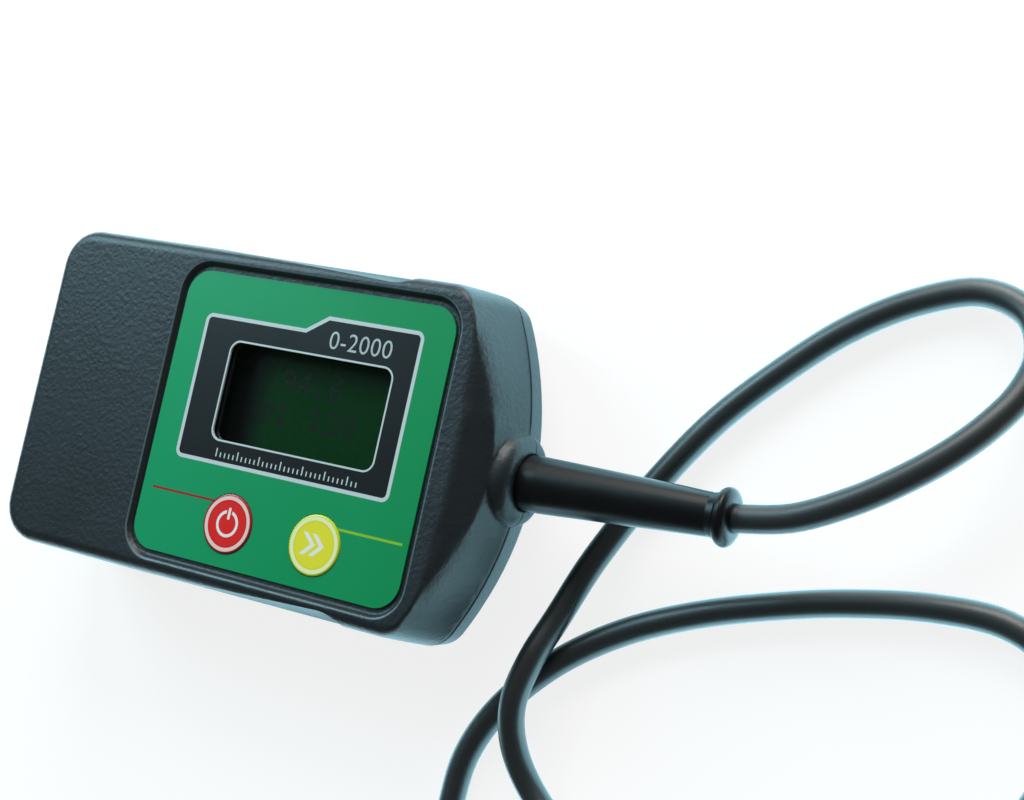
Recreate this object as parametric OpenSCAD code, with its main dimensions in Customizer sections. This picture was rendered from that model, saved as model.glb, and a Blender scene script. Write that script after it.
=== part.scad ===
// Coating thickness gauge: a moulded hand-held housing with a display, two keys and a
// probe on a cable. Millimetres, +X towards the cable end, +Z out of the face.
// The origin is under the middle of the housing, on the surface that it lies on.

/* [Housing] */
// Length of the housing from its square end to the middle of the bowed end
case_l = 107.7; // [106.5:0.1:110]
// Width of the housing
case_w = 64; // [63:0.5:68]
// Height of the front shell above the parting plane
front_h = 12.5; // [12.2:0.1:14]
// Depth of the back shell below the parting plane
back_h = 14.5; // [14.2:0.1:17]
// Wall thickness of both shells
wall = 2.2; // [1.8:0.1:2.5]
// Plan radius of the bowed cable end
bow_r = 60; // [56:1:70]
// Plan radius of the corners at the bowed end
corner_r = 6; // [5:0.5:8]
// Plan radius of the corners at the square end
end_r = 8; // [6:0.5:9]
// Radius of the rounded edge round the face
edge_r = 2.5; // [1.8:0.1:2.8]
// Lean of the side walls over the height of the front shell
side_draft = 0.4; // [0.2:0.05:0.6]
// Lean of the bowed end wall over the height of the front shell
bow_draft = 2.8; // [2.2:0.1:3.2]
// Slope of the crescent between the face and the bowed end, in degrees
shelf_slope = 40; // [34:1:44]
// Distance from the label's centre to the end of the flat face
face_reach = 36.2; // [35.5:0.1:37]
// Length over which the finger scoop in each side grows to its full depth
scoop_l = 50; // [44:1:54]
// Depth of the finger scoop at its deep end
scoop_d = 2.4; // [1.8:0.1:2.5]
// Radius of the finger scoop's section
scoop_r = 7; // [6:0.5:8]

/* [Collar and boot] */
// How far the collar stands out from the bowed end
collar_out = 1.3; // [1:0.1:2]
// Radius of the collar round the cable boot
collar_r = 8.4; // [8:0.1:9]
// Radius of the boot where it leaves the collar
boot_root_r = 5.1; // [4.8:0.1:5.4]
// Radius of the boot just before its end bead
boot_tip_r = 3.8; // [3.6:0.1:4.2]
// Length of the boot outside the collar
boot_l = 39; // [36:0.5:42]
// Radius of the bead that ends the boot
bead_r = 5.1; // [4.8:0.1:5.4]
// Thickness of the bead
bead_t = 2.8; // [2.2:0.1:3.4]
// Sideways lean of the soft boot, in degrees
boot_lean = 1.8; // [0:0.2:4]
// Diameter of the probe cable
cable_d = 4.9; // [4.4:0.1:5]

/* [Face] */
// Distance from the label's centre to the middle of the bowed end
label_to_bow = 43.2; // [42.7:0.1:43.7]
// Length of the printed label
label_l = 61; // [60:0.5:62]
// Width of the printed label
label_w = 54; // [53:0.5:55]
// Corner radius of the label
label_r = 5; // [4:0.5:6]
// Thickness of the label
label_t = 0.4; // [0.2:0.05:0.6]
// Depth of the recess that the label lies in
recess_d = 1; // [0.8:0.1:1.2]
// Gap at both ends of the label in its recess
end_gap = 0.8; // [0.3:0.1:1]
// Gap at both sides of the label in its recess
side_gap = 1.2; // [0.3:0.1:1.3]
// Width of the bevel on the recess's rim
rim_bevel = 0.6; // [0.3:0.1:0.7]
// Length of the display window
window_l = 36.6; // [36:0.2:38]
// Width of the display window
window_w = 18.5; // [18:0.25:19]
// Corner radius of the display window
window_r = 2; // [1.5:0.25:2.5]
// Window centre from the label's centre, along the housing
window_x = 1.2; // [0.8:0.1:1.6]
// Window centre from the label's centre, across the housing
window_y = 5.2; // [5:0.1:5.5]

/* [Keys] */
// Diameter of a key cap
key_d = 11.1; // [10:0.1:12]
// Power key from the label's centre, along the housing
power_x = -8.7; // [-10:0.1:-8]
// Function key from the label's centre, along the housing
function_x = 11.2; // [10.5:0.1:12]
// Both keys from the label's centre, across the housing
key_y = -18.9; // [-19.2:0.1:-18.6]
// Diameter of a key's plunger
plunger_d = 5; // [4.5:0.1:5.4]
// Travel of a key
key_travel = 0.4; // [0.3:0.05:0.5]

/* [Battery] */
// Length of the block battery's case
battery_l = 46.4; // [46:0.1:46.6]
// Width of the block battery
battery_w = 26.3; // [26:0.1:26.4]
// Thickness of the block battery
battery_t = 17.3; // [17:0.1:17.5]
// Length of the sliding battery door
door_l = 35; // [33:0.5:35.5]
// Width of the sliding battery door
door_w = 40; // [36:0.5:42]
// Thickness of the sliding battery door
door_t = 1.8; // [1.6:0.1:2]

/* [Probe] */
// Diameter of the probe's body
probe_d = 14; // [13:0.5:16]
// Length of the probe's body
probe_l = 46; // [40:1:50]

/* [Hidden] */
$fn = 48;

// Clearances
eps = 0.01;
run_gap = 0.05;
seat_gap = 0.1;
slide_gap = 0.15;

// Housing levels and ends
part_z = back_h;
top_z = back_h + front_h;
face_z = top_z - recess_d;
plate_t = 2;
roof_z = face_z - plate_t;
floor_t = 2.6;
half_w = case_w / 2;
left_x = -(case_l + collar_out) / 2;
bow_x = left_x + case_l;
collar_x = bow_x + collar_out;
bow_cx = bow_x - bow_r;
label_x = bow_x - label_to_bow;
face_end_x = label_x + face_reach;
lip_r = 2.5;
inner_side = wall + side_draft;
inner_bow = wall + bow_draft;
inner_end_r = 3.4;
bay_end_r = 1.5;
seam = 0.25;
// Share of the face's edge rounding that runs on along the bowed end
bow_round = 0.3;

// Back shell: share of its depth at each level, with the inset of sides and of the bow there
BACK_LEVELS = [[0.38, 0.3, 0.8], [0.69, 0.8, 3], [0.86, 1.6, 4.6], [0.95, 2.6, 6], [1, 4, 8]];

// Tongue and groove along the parting plane
tongue_h = 1.2;
tongue_t = 0.9;

// Finger scoops and the pads that thicken the wall behind them
scoop_z = top_z - 2;
scoop_x = label_x + 15.2;
scoop_lean = atan(scoop_d / scoop_l);
pad_t = 1.6;
pad_h = 6;
pad_l = 55;
pad_x = label_x - 32;

// Cable collar and the flange that locks the boot
flare = 1.4;
flare_l = 2.6;
flare_x = bow_x - 3.9;
collar_lip_r = boot_root_r + 0.6;
collar_root_x = bow_x - 8;
flange_r = boot_root_r + 1.5;
flange_t = 2.4;
flange_x = collar_root_x + 2;
boot_pivot_x = collar_x - 1;
boot_tail = 3;

// Display stack, from the roof down
window_c = [label_x + window_x, window_y];
pane_t = 1.2;
pane_lap = 1.8;
frame_l = 46;
frame_w = 25;
frame_h = 5;
frame_wall = 0.8;
frame_gap = 0.8;
view_l = 38.5;
view_w = 19.5;
glass_t = 2.2;
display_board_l = frame_l + 2;
display_board_w = frame_w + 8;
board_t = 1.6;
frame_top_z = roof_z - frame_gap;
display_z = frame_top_z - frame_h - board_t;
peg_r = 1.1;
peg_boss_r = 1.8;
PEGS = [for (sx = [-1, 1], sy = [-1, 1])
    [window_c[0] + sx * (frame_l / 2 - 4), window_c[1] + sy * (display_board_w / 2 - 2)]];

// Battery bay at the square end
battery_x = left_x + 4.4;
battery_y = -half_w + 4;
battery_z = floor_t + seat_gap;
stud_h = 2.6;
stud_r = 2.9;
stud_pitch = 12.7;
battery_mid = [battery_x + battery_w / 2, battery_y + battery_l, battery_z + battery_t / 2];
clip_l = 24.5;
clip_w = 13;
clip_t = 2.8;
clip_lift = 0.6;
lead_r = 0.7;
partition_t = 1.5;
partition_x = battery_x + battery_w + seat_gap;
partition_inset = 10;

// Main board under the display board, between the battery bay and the boot
header_h = 2.8;
main_z = display_z - header_h - board_t;
main_top_z = main_z + board_t;
main_left = partition_x + partition_t + 6.2;
main_right = collar_root_x - boot_tail - 3.2;
main_l = main_right - main_left;
main_w = 2 * (half_w - inner_side - 2.4);
main_x = (main_left + main_right) / 2;
board_post_r = 2.3;
board_screw_r = 0.9;
board_screw_l = board_t + 5;
BOARD_POSTS = [for (sx = [-1, 1], sy = [-1, 1])
    [main_x + sx * (main_l / 2 - 3), sy * (main_w / 2 - 2.8)]];

// Keys and switches
cap_proud = 0.25;
cap_z = face_z + label_t + cap_proud;
cap_t = 1.1;
cap_room = key_travel + 0.15;
guide_r = plunger_d / 2 + 1.6;
switch_side = 6;
switch_h = 3.5;
button_r = 1.75;
button_h = 1.5;
plunger_end_z = main_top_z + switch_h + button_h + key_travel + run_gap;
guide_z = plunger_end_z + key_travel + 0.6;
POWER = [label_x + power_x, key_y];
FUNCTION = [label_x + function_x, key_y];

// Battery door and its runners
door_z = 0.15;
runner_t = 0.8;
runner_w = 1;
runner_z = door_z + 0.55;

// Case screws and their posts
post_r = 3.2;
pilot_r = 1.2;
screw_r = 1.45;
head_r = 2.5;
head_h = 2;
sink_r = head_r + 0.2;
sink_z = 6;
screw_hole_r = screw_r + 0.2;
screw_l = 15;
CASE_POSTS = [
    for (sy = [-1, 1]) [partition_x + partition_t + 2.7, sy * (half_w - 6)],
    for (sy = [-1, 1]) [bow_x - 10.2, sy * 19]
];

// Cable route: from the boot's tip over the surface in loose loops to the coil
cable_r = cable_d / 2;
boot_tip = [boot_pivot_x + (boot_l + 1) * cos(boot_lean), (boot_l + 1) * sin(boot_lean), part_z];
ROUTE = concat([boot_tip], [
    [103, 3.2, 14.6], [112, 7.6, 14.5], [119, 12.4, 13.8], [125, 17.6, 12.6], [129.8, 23.2, 10.8],
    [133.4, 29.6, 8.4], [134.4, 36.6, 6], [131, 43.2, 4.2], [122.6, 45.8, 3], [112.6, 43, 2.6],
    [103, 37.6, 2.6], [94, 30.2, 2.6], [82, 17.9, 2.6], [72.2, 3.6, 2.7], [64.8, -10.4, 3.3],
    [61, -22, 5.4], [58.8, -30, 7.7], [57.2, -38, 7.9], [57.8, -45.4, 5.6], [61.6, -52.4, 3.1],
    [69.4, -58.4, 2.6], [81, -62.6, 2.6], [97, -63.6, 2.6], [115, -60, 2.6], [132, -50.4, 2.6],
    [144.4, -36.4, 2.6], [148.4, -21.6, 2.6], [145, -10.6, 2.6], [137, -6.2, 2.6], [125, -6.1, 2.6],
    [111, -8.4, 2.6], [99, -11.5, 2.6], [86, -15.8, 2.6], [73, -21.8, 2.6], [61.6, -29.8, 2.6],
    [52.4, -40, 2.6], [47.4, -50.4, 2.6], [46.4, -62, 2.6], [45.6, -76, 2.7], [44.7, -90, 3],
    [44.5, -102, 3.2]
]);

// Coil of the spare length, wound round a vertical axis beside the route's end
coil_c = [72, -102];
coil_turn_r = 24.95;
coil_w = 2.05 * cable_d;
coil_h = 1.9 * cable_d;
tie_t = 0.7;
tie_w = 5;

// Tail from the coil's upper turn to the probe, and the probe on the surface
probe_z = probe_d / 2;
probe_y = -127;
probe_boot_x = 96;
probe_boot_l = 14;
probe_boot_r = 3.4;
TAIL = [[72, -126.95, 7.5], [81, -127.1, 8.1], [89, -127.1, 7.8], [probe_boot_x, probe_y, probe_z]];
probe_x = probe_boot_x + probe_boot_l;
nose_l = 7;
tip_r = 2.6;

// Points along an arc, both ends or neither
function arc(c, r, a0, a1, n, skip = 0) =
    [for (i = [skip : n - skip]) let (a = a0 + (a1 - a0) * i / n) c + r * [cos(a), sin(a)]];

// Plan outline of the housing, drawn in by an inset at its sides, square end and bowed end,
// with the radius of the corners at the square end where it isn't the outer one
function case_outline(side, left, bow, end_corner = 0) =
    let (
        w = half_w - side,
        r = max(corner_r - side, 1.5),
        er = end_corner > 0 ? end_corner : max(end_r - side, 1.5),
        big = bow_r - bow,
        cy = w - r,
        cx = bow_cx + sqrt((big - r) ^ 2 - cy ^ 2),
        a = atan2(cy, cx - bow_cx),
        lx = left_x + left + er
    )
    concat(
        arc([cx, -cy], r, -90, -a, 7),
        arc([bow_cx, 0], big, -a, a, 22, 1),
        arc([cx, cy], r, a, 90, 7),
        arc([lx, w - er], er, 90, 180, 7),
        arc([lx, er - w], er, 180, 270, 7)
    );

// Smooth curve through a list of points, two rings to a span
function spline_at(p, i, t) =
    let (
        n = len(p) - 1,
        a = p[max(i - 1, 0)],
        b = p[i],
        c = p[min(i + 1, n)],
        d = p[min(i + 2, n)]
    )
    0.5 * (2 * b + (c - a) * t + (2 * a - 5 * b + 4 * c - d) * t ^ 2 + (3 * b - a - 3 * c + d) * t ^ 3);
function smooth(p, k) =
    concat([for (i = [0 : len(p) - 2], j = [0 : k - 1]) spline_at(p, i, j / k)], [p[len(p) - 1]]);
function unit(v) = v / norm(v);
function heading(p, i) = unit(p[min(i + 1, len(p) - 1)] - p[max(i - 1, 0)]);
function ring_points(c, h, r, n, ref) =
    let (s = unit(cross(ref, h)), u = cross(h, s))
    [for (k = [0 : n - 1]) c + r * (cos(360 * k / n) * s + sin(360 * k / n) * u)];

// Tube of constant radius swept along a list of points that never run along ref
module tube(p, r, n = 8, ref = [0, 0, 1]) {
    m = len(p);
    points = [for (i = [0 : m - 1]) each ring_points(p[i], heading(p, i), r, n, ref)];
    sides = [for (i = [0 : m - 2], k = [0 : n - 1])
        let (k2 = (k + 1) % n) [i * n + k, (i + 1) * n + k, (i + 1) * n + k2, i * n + k2]];
    caps = [[for (k = [0 : n - 1]) k], [for (k = [n - 1 : -1 : 0]) (m - 1) * n + k]];
    polyhedron(points, concat(sides, caps));
}

// Rectangle with round corners, centred
module round_rect(l, w, r) {
    square([l - 2 * r, w], center = true);
    square([l, w - 2 * r], center = true);
    for (sx = [-1, 1], sy = [-1, 1]) translate([sx * (l / 2 - r), sy * (w / 2 - r)]) circle(r);
}

module plate(l, w, r, t) {
    linear_extrude(t) round_rect(l, w, r);
}

// Box centred in plan, standing on its base
module block(l, w, h) {
    translate([-l / 2, -w / 2, 0]) cube([l, w, h]);
}

// Turned shape about the cable axis, from points of radius and length along X
module turned(points) {
    rotate([0, 90, 0]) rotate_extrude() polygon(points);
}

module slice(z, side, left, bow) {
    translate([0, 0, z]) linear_extrude(eps) polygon(case_outline(side, left, bow));
}

// Outer form of the front shell before anything is cut from it
module front_form() {
    base_z = top_z - edge_r - eps;
    hull() {
        slice(part_z, seam, seam, seam);
        slice(part_z + seam, 0, 0, 0);
        slice((part_z + base_z) / 2, side_draft * 0.4, side_draft * 0.4, bow_draft * 0.4);
        for (a = [0 : 18 : 90]) {
            round_in = edge_r * (1 - cos(a));
            side_in = side_draft + round_in;
            slice(base_z + edge_r * sin(a), side_in, side_in, bow_draft + bow_round * round_in);
        }
    }
}

// Sloping crescent between the straight end of the face and the bowed wall
module shelf_cut() {
    for (a = [shelf_slope / 4 : shelf_slope / 4 : shelf_slope])
        translate([
            face_end_x - lip_r * tan(shelf_slope / 2) + lip_r * sin(a),
            -case_w,
            top_z - lip_r * (1 - cos(a))
        ])
            rotate([0, a, 0]) cube([bow_r, 2 * case_w, front_h]);
}

// Finger scoop along the top of each long side, deepest at its rounded end
module finger_scoops() {
    for (s = [-1, 1])
        translate([scoop_x, s * (half_w - scoop_d + scoop_r), scoop_z]) {
            sphere(r = scoop_r);
            rotate([0, -90, -s * scoop_lean]) cylinder(r = scoop_r, h = scoop_l + scoop_r);
        }
}

// Collar round the boot, with a flare where it grows out of the end wall
module collar_form() {
    translate([0, 0, part_z]) turned(concat(
        [[0, collar_root_x], [collar_r + flare, collar_root_x]],
        [for (a = [0 : 15 : 90]) [collar_r + flare * (1 - sin(a)), flare_x + flare_l * (1 - cos(a))]],
        [for (a = [15 : 15 : 90]) [
            collar_lip_r + (collar_r - collar_lip_r) * cos(a),
            flare_x + flare_l + (collar_x - flare_x - flare_l) * sin(a)
        ]],
        [[0, collar_x]]
    ));
}

module collar_bore() {
    translate([0, 0, part_z]) {
        turned([
            [0, collar_root_x - 1],
            [boot_root_r + run_gap, collar_root_x - 1],
            [boot_root_r + run_gap, collar_x + 1],
            [0, collar_x + 1]
        ]);
        turned([
            [0, flange_x - run_gap],
            [flange_r + run_gap, flange_x - run_gap],
            [flange_r + run_gap, flange_x + flange_t + run_gap],
            [0, flange_x + flange_t + run_gap]
        ]);
    }
}

// Half space above or below the parting plane
module above_parting(up) {
    translate([-case_l, -case_w, up ? part_z : part_z - 4 * back_h])
        cube([2 * case_l, 2 * case_w, 4 * back_h]);
}

module label_outline(along, across) {
    translate([label_x, 0]) round_rect(label_l + 2 * along, label_w + 2 * across, label_r + along);
}

// Outline of the tongue that keys the shells together, open at the collar
module tongue_outline(gap) {
    lap = tongue_t + gap;
    difference() {
        polygon(case_outline(inner_side - lap, inner_side - lap, inner_bow - lap, inner_end_r + lap));
        polygon(case_outline(inner_side, inner_side, inner_bow, inner_end_r));
        translate([collar_root_x - 4, -collar_r - 3.5]) square([case_l, 2 * collar_r + 7]);
    }
}

module front_shell() {
    color("#25292d") difference() {
        union() {
            difference() {
                front_form();
                shelf_cut();
                translate([0, 0, part_z - 1]) linear_extrude(roof_z - part_z + 1)
                    polygon(case_outline(inner_side, inner_side, inner_bow, inner_end_r));
            }
            for (s = [-1, 1])
                translate([pad_x + pad_l / 2, s * (half_w - inner_side - pad_t / 2), roof_z - pad_h])
                    block(pad_l, pad_t + 2 * eps, pad_h + eps);
            intersection() {
                collar_form();
                above_parting(true);
            }
            for (p = CASE_POSTS)
                translate([p[0], p[1], part_z]) cylinder(r = post_r, h = roof_z - part_z + eps);
            for (p = BOARD_POSTS)
                translate([p[0], p[1], main_top_z]) cylinder(r = board_post_r, h = roof_z - main_top_z + eps);
            for (p = PEGS) {
                translate([p[0], p[1], display_z + board_t])
                    cylinder(r = peg_boss_r, h = roof_z - display_z - board_t + eps);
                translate([p[0], p[1], display_z - 0.4]) cylinder(r = peg_r, h = roof_z - display_z);
            }
            for (p = [POWER, FUNCTION])
                translate([p[0], p[1], guide_z]) cylinder(r = guide_r, h = roof_z - guide_z + eps);
        }
        finger_scoops();
        translate([0, 0, face_z]) linear_extrude(recess_d + 1) label_outline(end_gap, side_gap);
        hull() {
            translate([0, 0, top_z - rim_bevel]) linear_extrude(eps) label_outline(end_gap, side_gap);
            translate([0, 0, top_z]) linear_extrude(eps)
                label_outline(end_gap + rim_bevel, side_gap + rim_bevel);
        }
        translate([window_c[0], window_c[1], face_z - pane_t])
            plate(window_l + 2 * pane_lap, window_w + 2 * pane_lap, window_r, pane_t + eps);
        translate([window_c[0], window_c[1], roof_z - 1]) plate(window_l, window_w, window_r, plate_t + 1);
        for (p = [POWER, FUNCTION]) translate([p[0], p[1], 0]) {
            translate([0, 0, cap_z - cap_t - cap_room]) cylinder(r = key_d / 2 + seat_gap, h = front_h);
            translate([0, 0, part_z]) cylinder(r = plunger_d / 2 + run_gap, h = front_h);
        }
        for (p = CASE_POSTS)
            translate([p[0], p[1], part_z - 1]) cylinder(r = pilot_r, h = roof_z - part_z);
        for (p = BOARD_POSTS)
            translate([p[0], p[1], main_top_z - 1]) cylinder(r = board_screw_r, h = board_screw_l + 1);
        translate([0, 0, part_z - eps]) linear_extrude(tongue_h + seat_gap) tongue_outline(seat_gap);
        collar_bore();
    }
}

// Outer form of the back shell before anything is cut from it
module back_form() {
    hull() {
        slice(part_z - eps, seam, seam, seam);
        slice(part_z - seam, 0, 0, 0);
        for (level = BACK_LEVELS) slice(part_z * (1 - level[0]), level[1], level[1], level[2]);
    }
}

module door_slot(grow) {
    translate([left_x - 1, -door_w / 2 - grow, -1])
        cube([door_l + 1 + grow, door_w + 2 * grow, door_t + door_z + 1 + grow]);
    translate([left_x - 1, -door_w / 2 - runner_w - grow, runner_z - grow])
        cube([door_l + 1 + grow, door_w + 2 * (runner_w + grow), runner_t + 2 * grow]);
}

module back_shell() {
    deep = back_h * 0.5;
    color("#24282c") difference() {
        union() {
            difference() {
                back_form();
                translate([0, 0, deep]) linear_extrude(back_h)
                    polygon(case_outline(inner_side, inner_side, inner_bow, inner_end_r));
                translate([0, 0, floor_t]) linear_extrude(back_h)
                    polygon(case_outline(inner_side + 1.1, inner_side + 0.9, inner_bow + 3.4, bay_end_r));
            }
            translate([0, 0, part_z - 1]) linear_extrude(tongue_h + 1) tongue_outline(0);
            intersection() {
                collar_form();
                above_parting(false);
            }
            intersection() {
                back_form();
                for (p = CASE_POSTS) translate([p[0], p[1], 0]) {
                    cylinder(r = post_r, h = back_h);
                    cylinder(r = sink_r + 1.1, h = sink_z + 1.8);
                }
            }
            translate([partition_x, partition_inset - half_w, floor_t - eps])
                cube([partition_t, case_w - 2 * partition_inset, part_z - floor_t - 1.5]);
        }
        door_slot(slide_gap);
        for (p = CASE_POSTS) translate([p[0], p[1], -1]) {
            cylinder(r = screw_hole_r, h = back_h + 2);
            cylinder(r = sink_r, h = sink_z + 1);
        }
        collar_bore();
    }
}

// Sliding cover of the battery bay, with thumb ridges and two runners
module battery_door() {
    ridge_x = left_x + 9;
    color("#24282c") difference() {
        intersection() {
            back_form();
            union() {
                translate([left_x - 1, -door_w / 2, door_z]) cube([door_l + 1, door_w, door_t]);
                translate([left_x + 6, -door_w / 2 - runner_w, runner_z])
                    cube([door_l - 6, door_w + 2 * runner_w, runner_t]);
            }
        }
        for (i = [0 : 4])
            translate([ridge_x + i * 2, 0, door_z]) rotate([90, 0, 0])
                cylinder(r = 0.6, h = door_w * 0.4, center = true, $fn = 24);
    }
}

module face_label() {
    color("#1f9a68") translate([0, 0, face_z]) linear_extrude(label_t) difference() {
        label_outline(0, 0);
        translate(window_c) round_rect(window_l, window_w, window_r);
        for (p = [POWER, FUNCTION]) translate(p) circle(key_d / 2 + seat_gap);
    }
}

module display_pane() {
    lap = pane_lap - seat_gap;
    color("#9fb3ad", 0.35) translate([window_c[0], window_c[1], face_z - pane_t])
        plate(window_l + 2 * lap, window_w + 2 * lap, window_r, pane_t);
}

// Folded metal frame that holds the glass on the display board
module display_frame() {
    base_z = display_z + board_t;
    color("#1b1d1f") translate([window_c[0], window_c[1], base_z]) difference() {
        plate(frame_l, frame_w, 1, frame_h);
        translate([0, 0, -eps])
            plate(frame_l - 2 * frame_wall, frame_w - 2 * frame_wall, 0.5, frame_h - frame_wall + eps);
        plate(view_l, view_w, 0.5, frame_h + 1);
    }
}

module display_glass() {
    color("#0e3a2a") translate([window_c[0], window_c[1], frame_top_z - frame_wall - glass_t])
        block(frame_l - 2 * frame_wall - 4 * seat_gap, frame_w - 2 * frame_wall - 4 * seat_gap, glass_t);
}

module display_backlight() {
    base_z = display_z + board_t;
    color("#e6e8e2") translate([window_c[0], window_c[1], base_z])
        block(frame_l - 4, frame_w - 4, frame_h - frame_wall - glass_t);
}

module display_board() {
    color("#1c5a3c") translate([0, 0, display_z]) linear_extrude(board_t) difference() {
        translate(window_c) square([display_board_l, display_board_w], center = true);
        for (p = PEGS) translate(p) circle(peg_r + run_gap);
    }
}

// Pin strip between the two boards, waisted between its pins
module display_header() {
    pitch = 2.54;
    pins = 12;
    strip_l = pins * pitch;
    y = window_c[1] + display_board_w / 2 - 2.4;
    color("#17181a") translate([window_c[0], y, main_top_z]) difference() {
        block(strip_l, pitch, header_h);
        for (i = [1 : pins - 1], s = [-1, 1])
            translate([-strip_l / 2 + i * pitch, s * pitch / 2, -1]) block(0.7, 0.7, header_h + 2);
    }
}

module main_board() {
    color("#1c5a3c") translate([0, 0, main_z]) linear_extrude(board_t) difference() {
        translate([main_x, 0]) square([main_l, main_w], center = true);
        for (p = BOARD_POSTS) translate(p) circle(screw_hole_r);
    }
}

// Flat chip with a row of bent legs along the chosen sides
module chip(l, w, h, legs, pitch, four_sides) {
    leg_t = 0.25;
    translate([0, 0, leg_t]) block(l, w, h);
    for (turn = four_sides ? [0, 90, 180, 270] : [0, 180]) rotate([0, 0, turn])
        for (i = [0 : legs - 1])
            translate([(i - (legs - 1) / 2) * pitch, w / 2 + 0.4, 0]) block(0.35, 1, leg_t * 2);
}

module controller_chip() {
    color("#202123") translate([main_x - 3.5, 4, main_top_z]) chip(10, 10, 1.4, 8, 1, true);
}

module amplifier_chip() {
    color("#202123") translate([main_right - 12, -2, main_top_z]) chip(10, 4, 1.5, 7, 1.27, false);
}

module regulator_chip() {
    color("#202123") translate([main_left + 8, -12.5, main_top_z]) chip(6.5, 3.5, 1.6, 3, 2.3, false);
}

module crystal() {
    color("#c4c8cb") translate([main_right - 8, -15.5, main_top_z]) plate(10.5, 4.4, 2.1, 3.4);
}

// Pair of standing electrolytic capacitors between the switches
module filter_capacitors() {
    can_r = 2.6;
    can_h = 6;
    mid_x = (POWER[0] + FUNCTION[0]) / 2;
    color("#30343f") for (s = [-1, 1])
        translate([mid_x + s * (can_r + 0.5), key_y, main_top_z]) rotate_extrude() polygon([
            [0, 0], [can_r, 0], [can_r, 0.8], [can_r - 0.25, 1.2], [can_r, 1.6],
            [can_r, can_h - 0.4], [can_r - 0.4, can_h], [0, can_h]
        ]);
}

module tact_switch() {
    block(switch_side, switch_side, switch_h);
    translate([0, 0, switch_h - eps]) cylinder(r = button_r, h = button_h + eps);
}

module power_switch() {
    color("#3a3c3e") translate([POWER[0], POWER[1], main_top_z]) tact_switch();
}

module function_switch() {
    color("#3a3c3e") translate([FUNCTION[0], FUNCTION[1], main_top_z]) tact_switch();
}

// Round cap on a plunger that reaches down to its switch
module key() {
    r = key_d / 2;
    soft = 0.3;
    rotate_extrude() polygon([
        [0, plunger_end_z],
        [plunger_d / 2, plunger_end_z],
        [plunger_d / 2, cap_z - cap_t],
        [r, cap_z - cap_t],
        [r, cap_z - soft],
        [r - soft * 0.3, cap_z - soft * 0.3],
        [r - soft, cap_z],
        [0, cap_z]
    ]);
}

module power_key() {
    color("#cf1f22") translate([POWER[0], POWER[1], 0]) key();
}

module function_key() {
    color("#d8d029") translate([FUNCTION[0], FUNCTION[1], 0]) key();
}

module battery() {
    color("#2e3338") translate([battery_mid[0], battery_y, battery_mid[2]])
        rotate([-90, 0, 0]) plate(battery_w, battery_t, 2.5, battery_l);
}

// The two snap studs on the battery's end
module battery_studs() {
    color("#c9c6bb") for (s = [-1, 1])
        translate([battery_mid[0] + s * stud_pitch / 2, battery_mid[1], battery_mid[2]])
            rotate([-90, 0, 0]) cylinder(r = stud_r, h = stud_h);
}

// Snap connector pressed over the studs
module battery_clip() {
    color("#1d1f21") translate([battery_mid[0], battery_mid[1], battery_mid[2]]) rotate([-90, 0, 0])
        difference() {
            translate([0, 0, clip_lift]) plate(clip_l, clip_w, 3, clip_t);
            for (s = [-1, 1])
                translate([s * stud_pitch / 2, 0, 0]) cylinder(r = stud_r + run_gap, h = stud_h + run_gap);
        }
}

// Two leads from the snap connector over the battery to the main board
module battery_leads() {
    over_z = battery_z + battery_t + 1.8;
    clip_y = battery_mid[1] + clip_lift + clip_t / 2;
    for (s = [0, 1]) color(s == 0 ? "#b3262a" : "#1d1f21") {
        y = clip_y - 9 - 2.4 * s;
        x = battery_mid[0] + 6 - 3 * s;
        tube(smooth([
            [x, clip_y, battery_mid[2] + clip_w / 2 + eps],
            [x, clip_y - 0.6, over_z - 1.6],
            [x, clip_y - 4, over_z],
            [x + 3, y + 3, over_z],
            [x + 7, y, over_z],
            [partition_x + 0.6, y, over_z - 0.4],
            [partition_x + 2.4, y, over_z - 3.5],
            [partition_x + 3.6, y, main_top_z + 2.2],
            [main_left + 1, y, main_top_z + lead_r + 0.1],
            [main_left + 4, y, main_top_z + lead_r + eps]
        ], 2), lead_r, 8, [0.4, 0.5, 0.3]);
    }
}

// Socket for the probe's leads on the underside of the main board
module sensor_connector() {
    color("#e3ded0") translate([main_right - 5, 0, main_z - 5.5]) difference() {
        block(6, 10, 5.5);
        translate([1, 0, -1]) block(6, 8, 4.5);
    }
}

// Screened leads from the boot to the socket
module sensor_leads() {
    boot_end = collar_root_x - boot_tail;
    plug_z = main_z - 4;
    color("#7d3030") for (s = [-1, 0, 1]) {
        y = s * 2.2;
        tube(smooth([
            [boot_end - eps, y, part_z],
            [boot_end - 0.9, y, part_z - 0.6],
            [main_right + 1.3, y, part_z - 3],
            [main_right + 1, y, plug_z + 1.6],
            [main_right - 1.2, y, plug_z],
            [main_right - 6.9, y, plug_z]
        ], 2), 0.6, 8, [0.1, 1, 0.2]);
    }
}

module board_screws() {
    color("#b9bcc0") for (p = BOARD_POSTS) translate([p[0], p[1], main_z - 1.4]) {
        cylinder(r = 2.2, h = 1.4);
        cylinder(r = board_screw_r, h = board_screw_l);
    }
}

// Long pan-head screws that join the shells
module case_screws() {
    recess_w = 0.7;
    color("#b9bcc0") for (p = CASE_POSTS) translate([p[0], p[1], sink_z]) mirror([0, 0, 1]) difference() {
        union() {
            cylinder(r = head_r, h = head_h);
            translate([0, 0, -screw_l]) cylinder(r = pilot_r, h = screw_l);
        }
        for (turn = [0, 90]) rotate([0, 0, turn])
            translate([0, 0, head_h - 1]) block(head_r * 1.2, recess_w, 2);
    }
}

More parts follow.
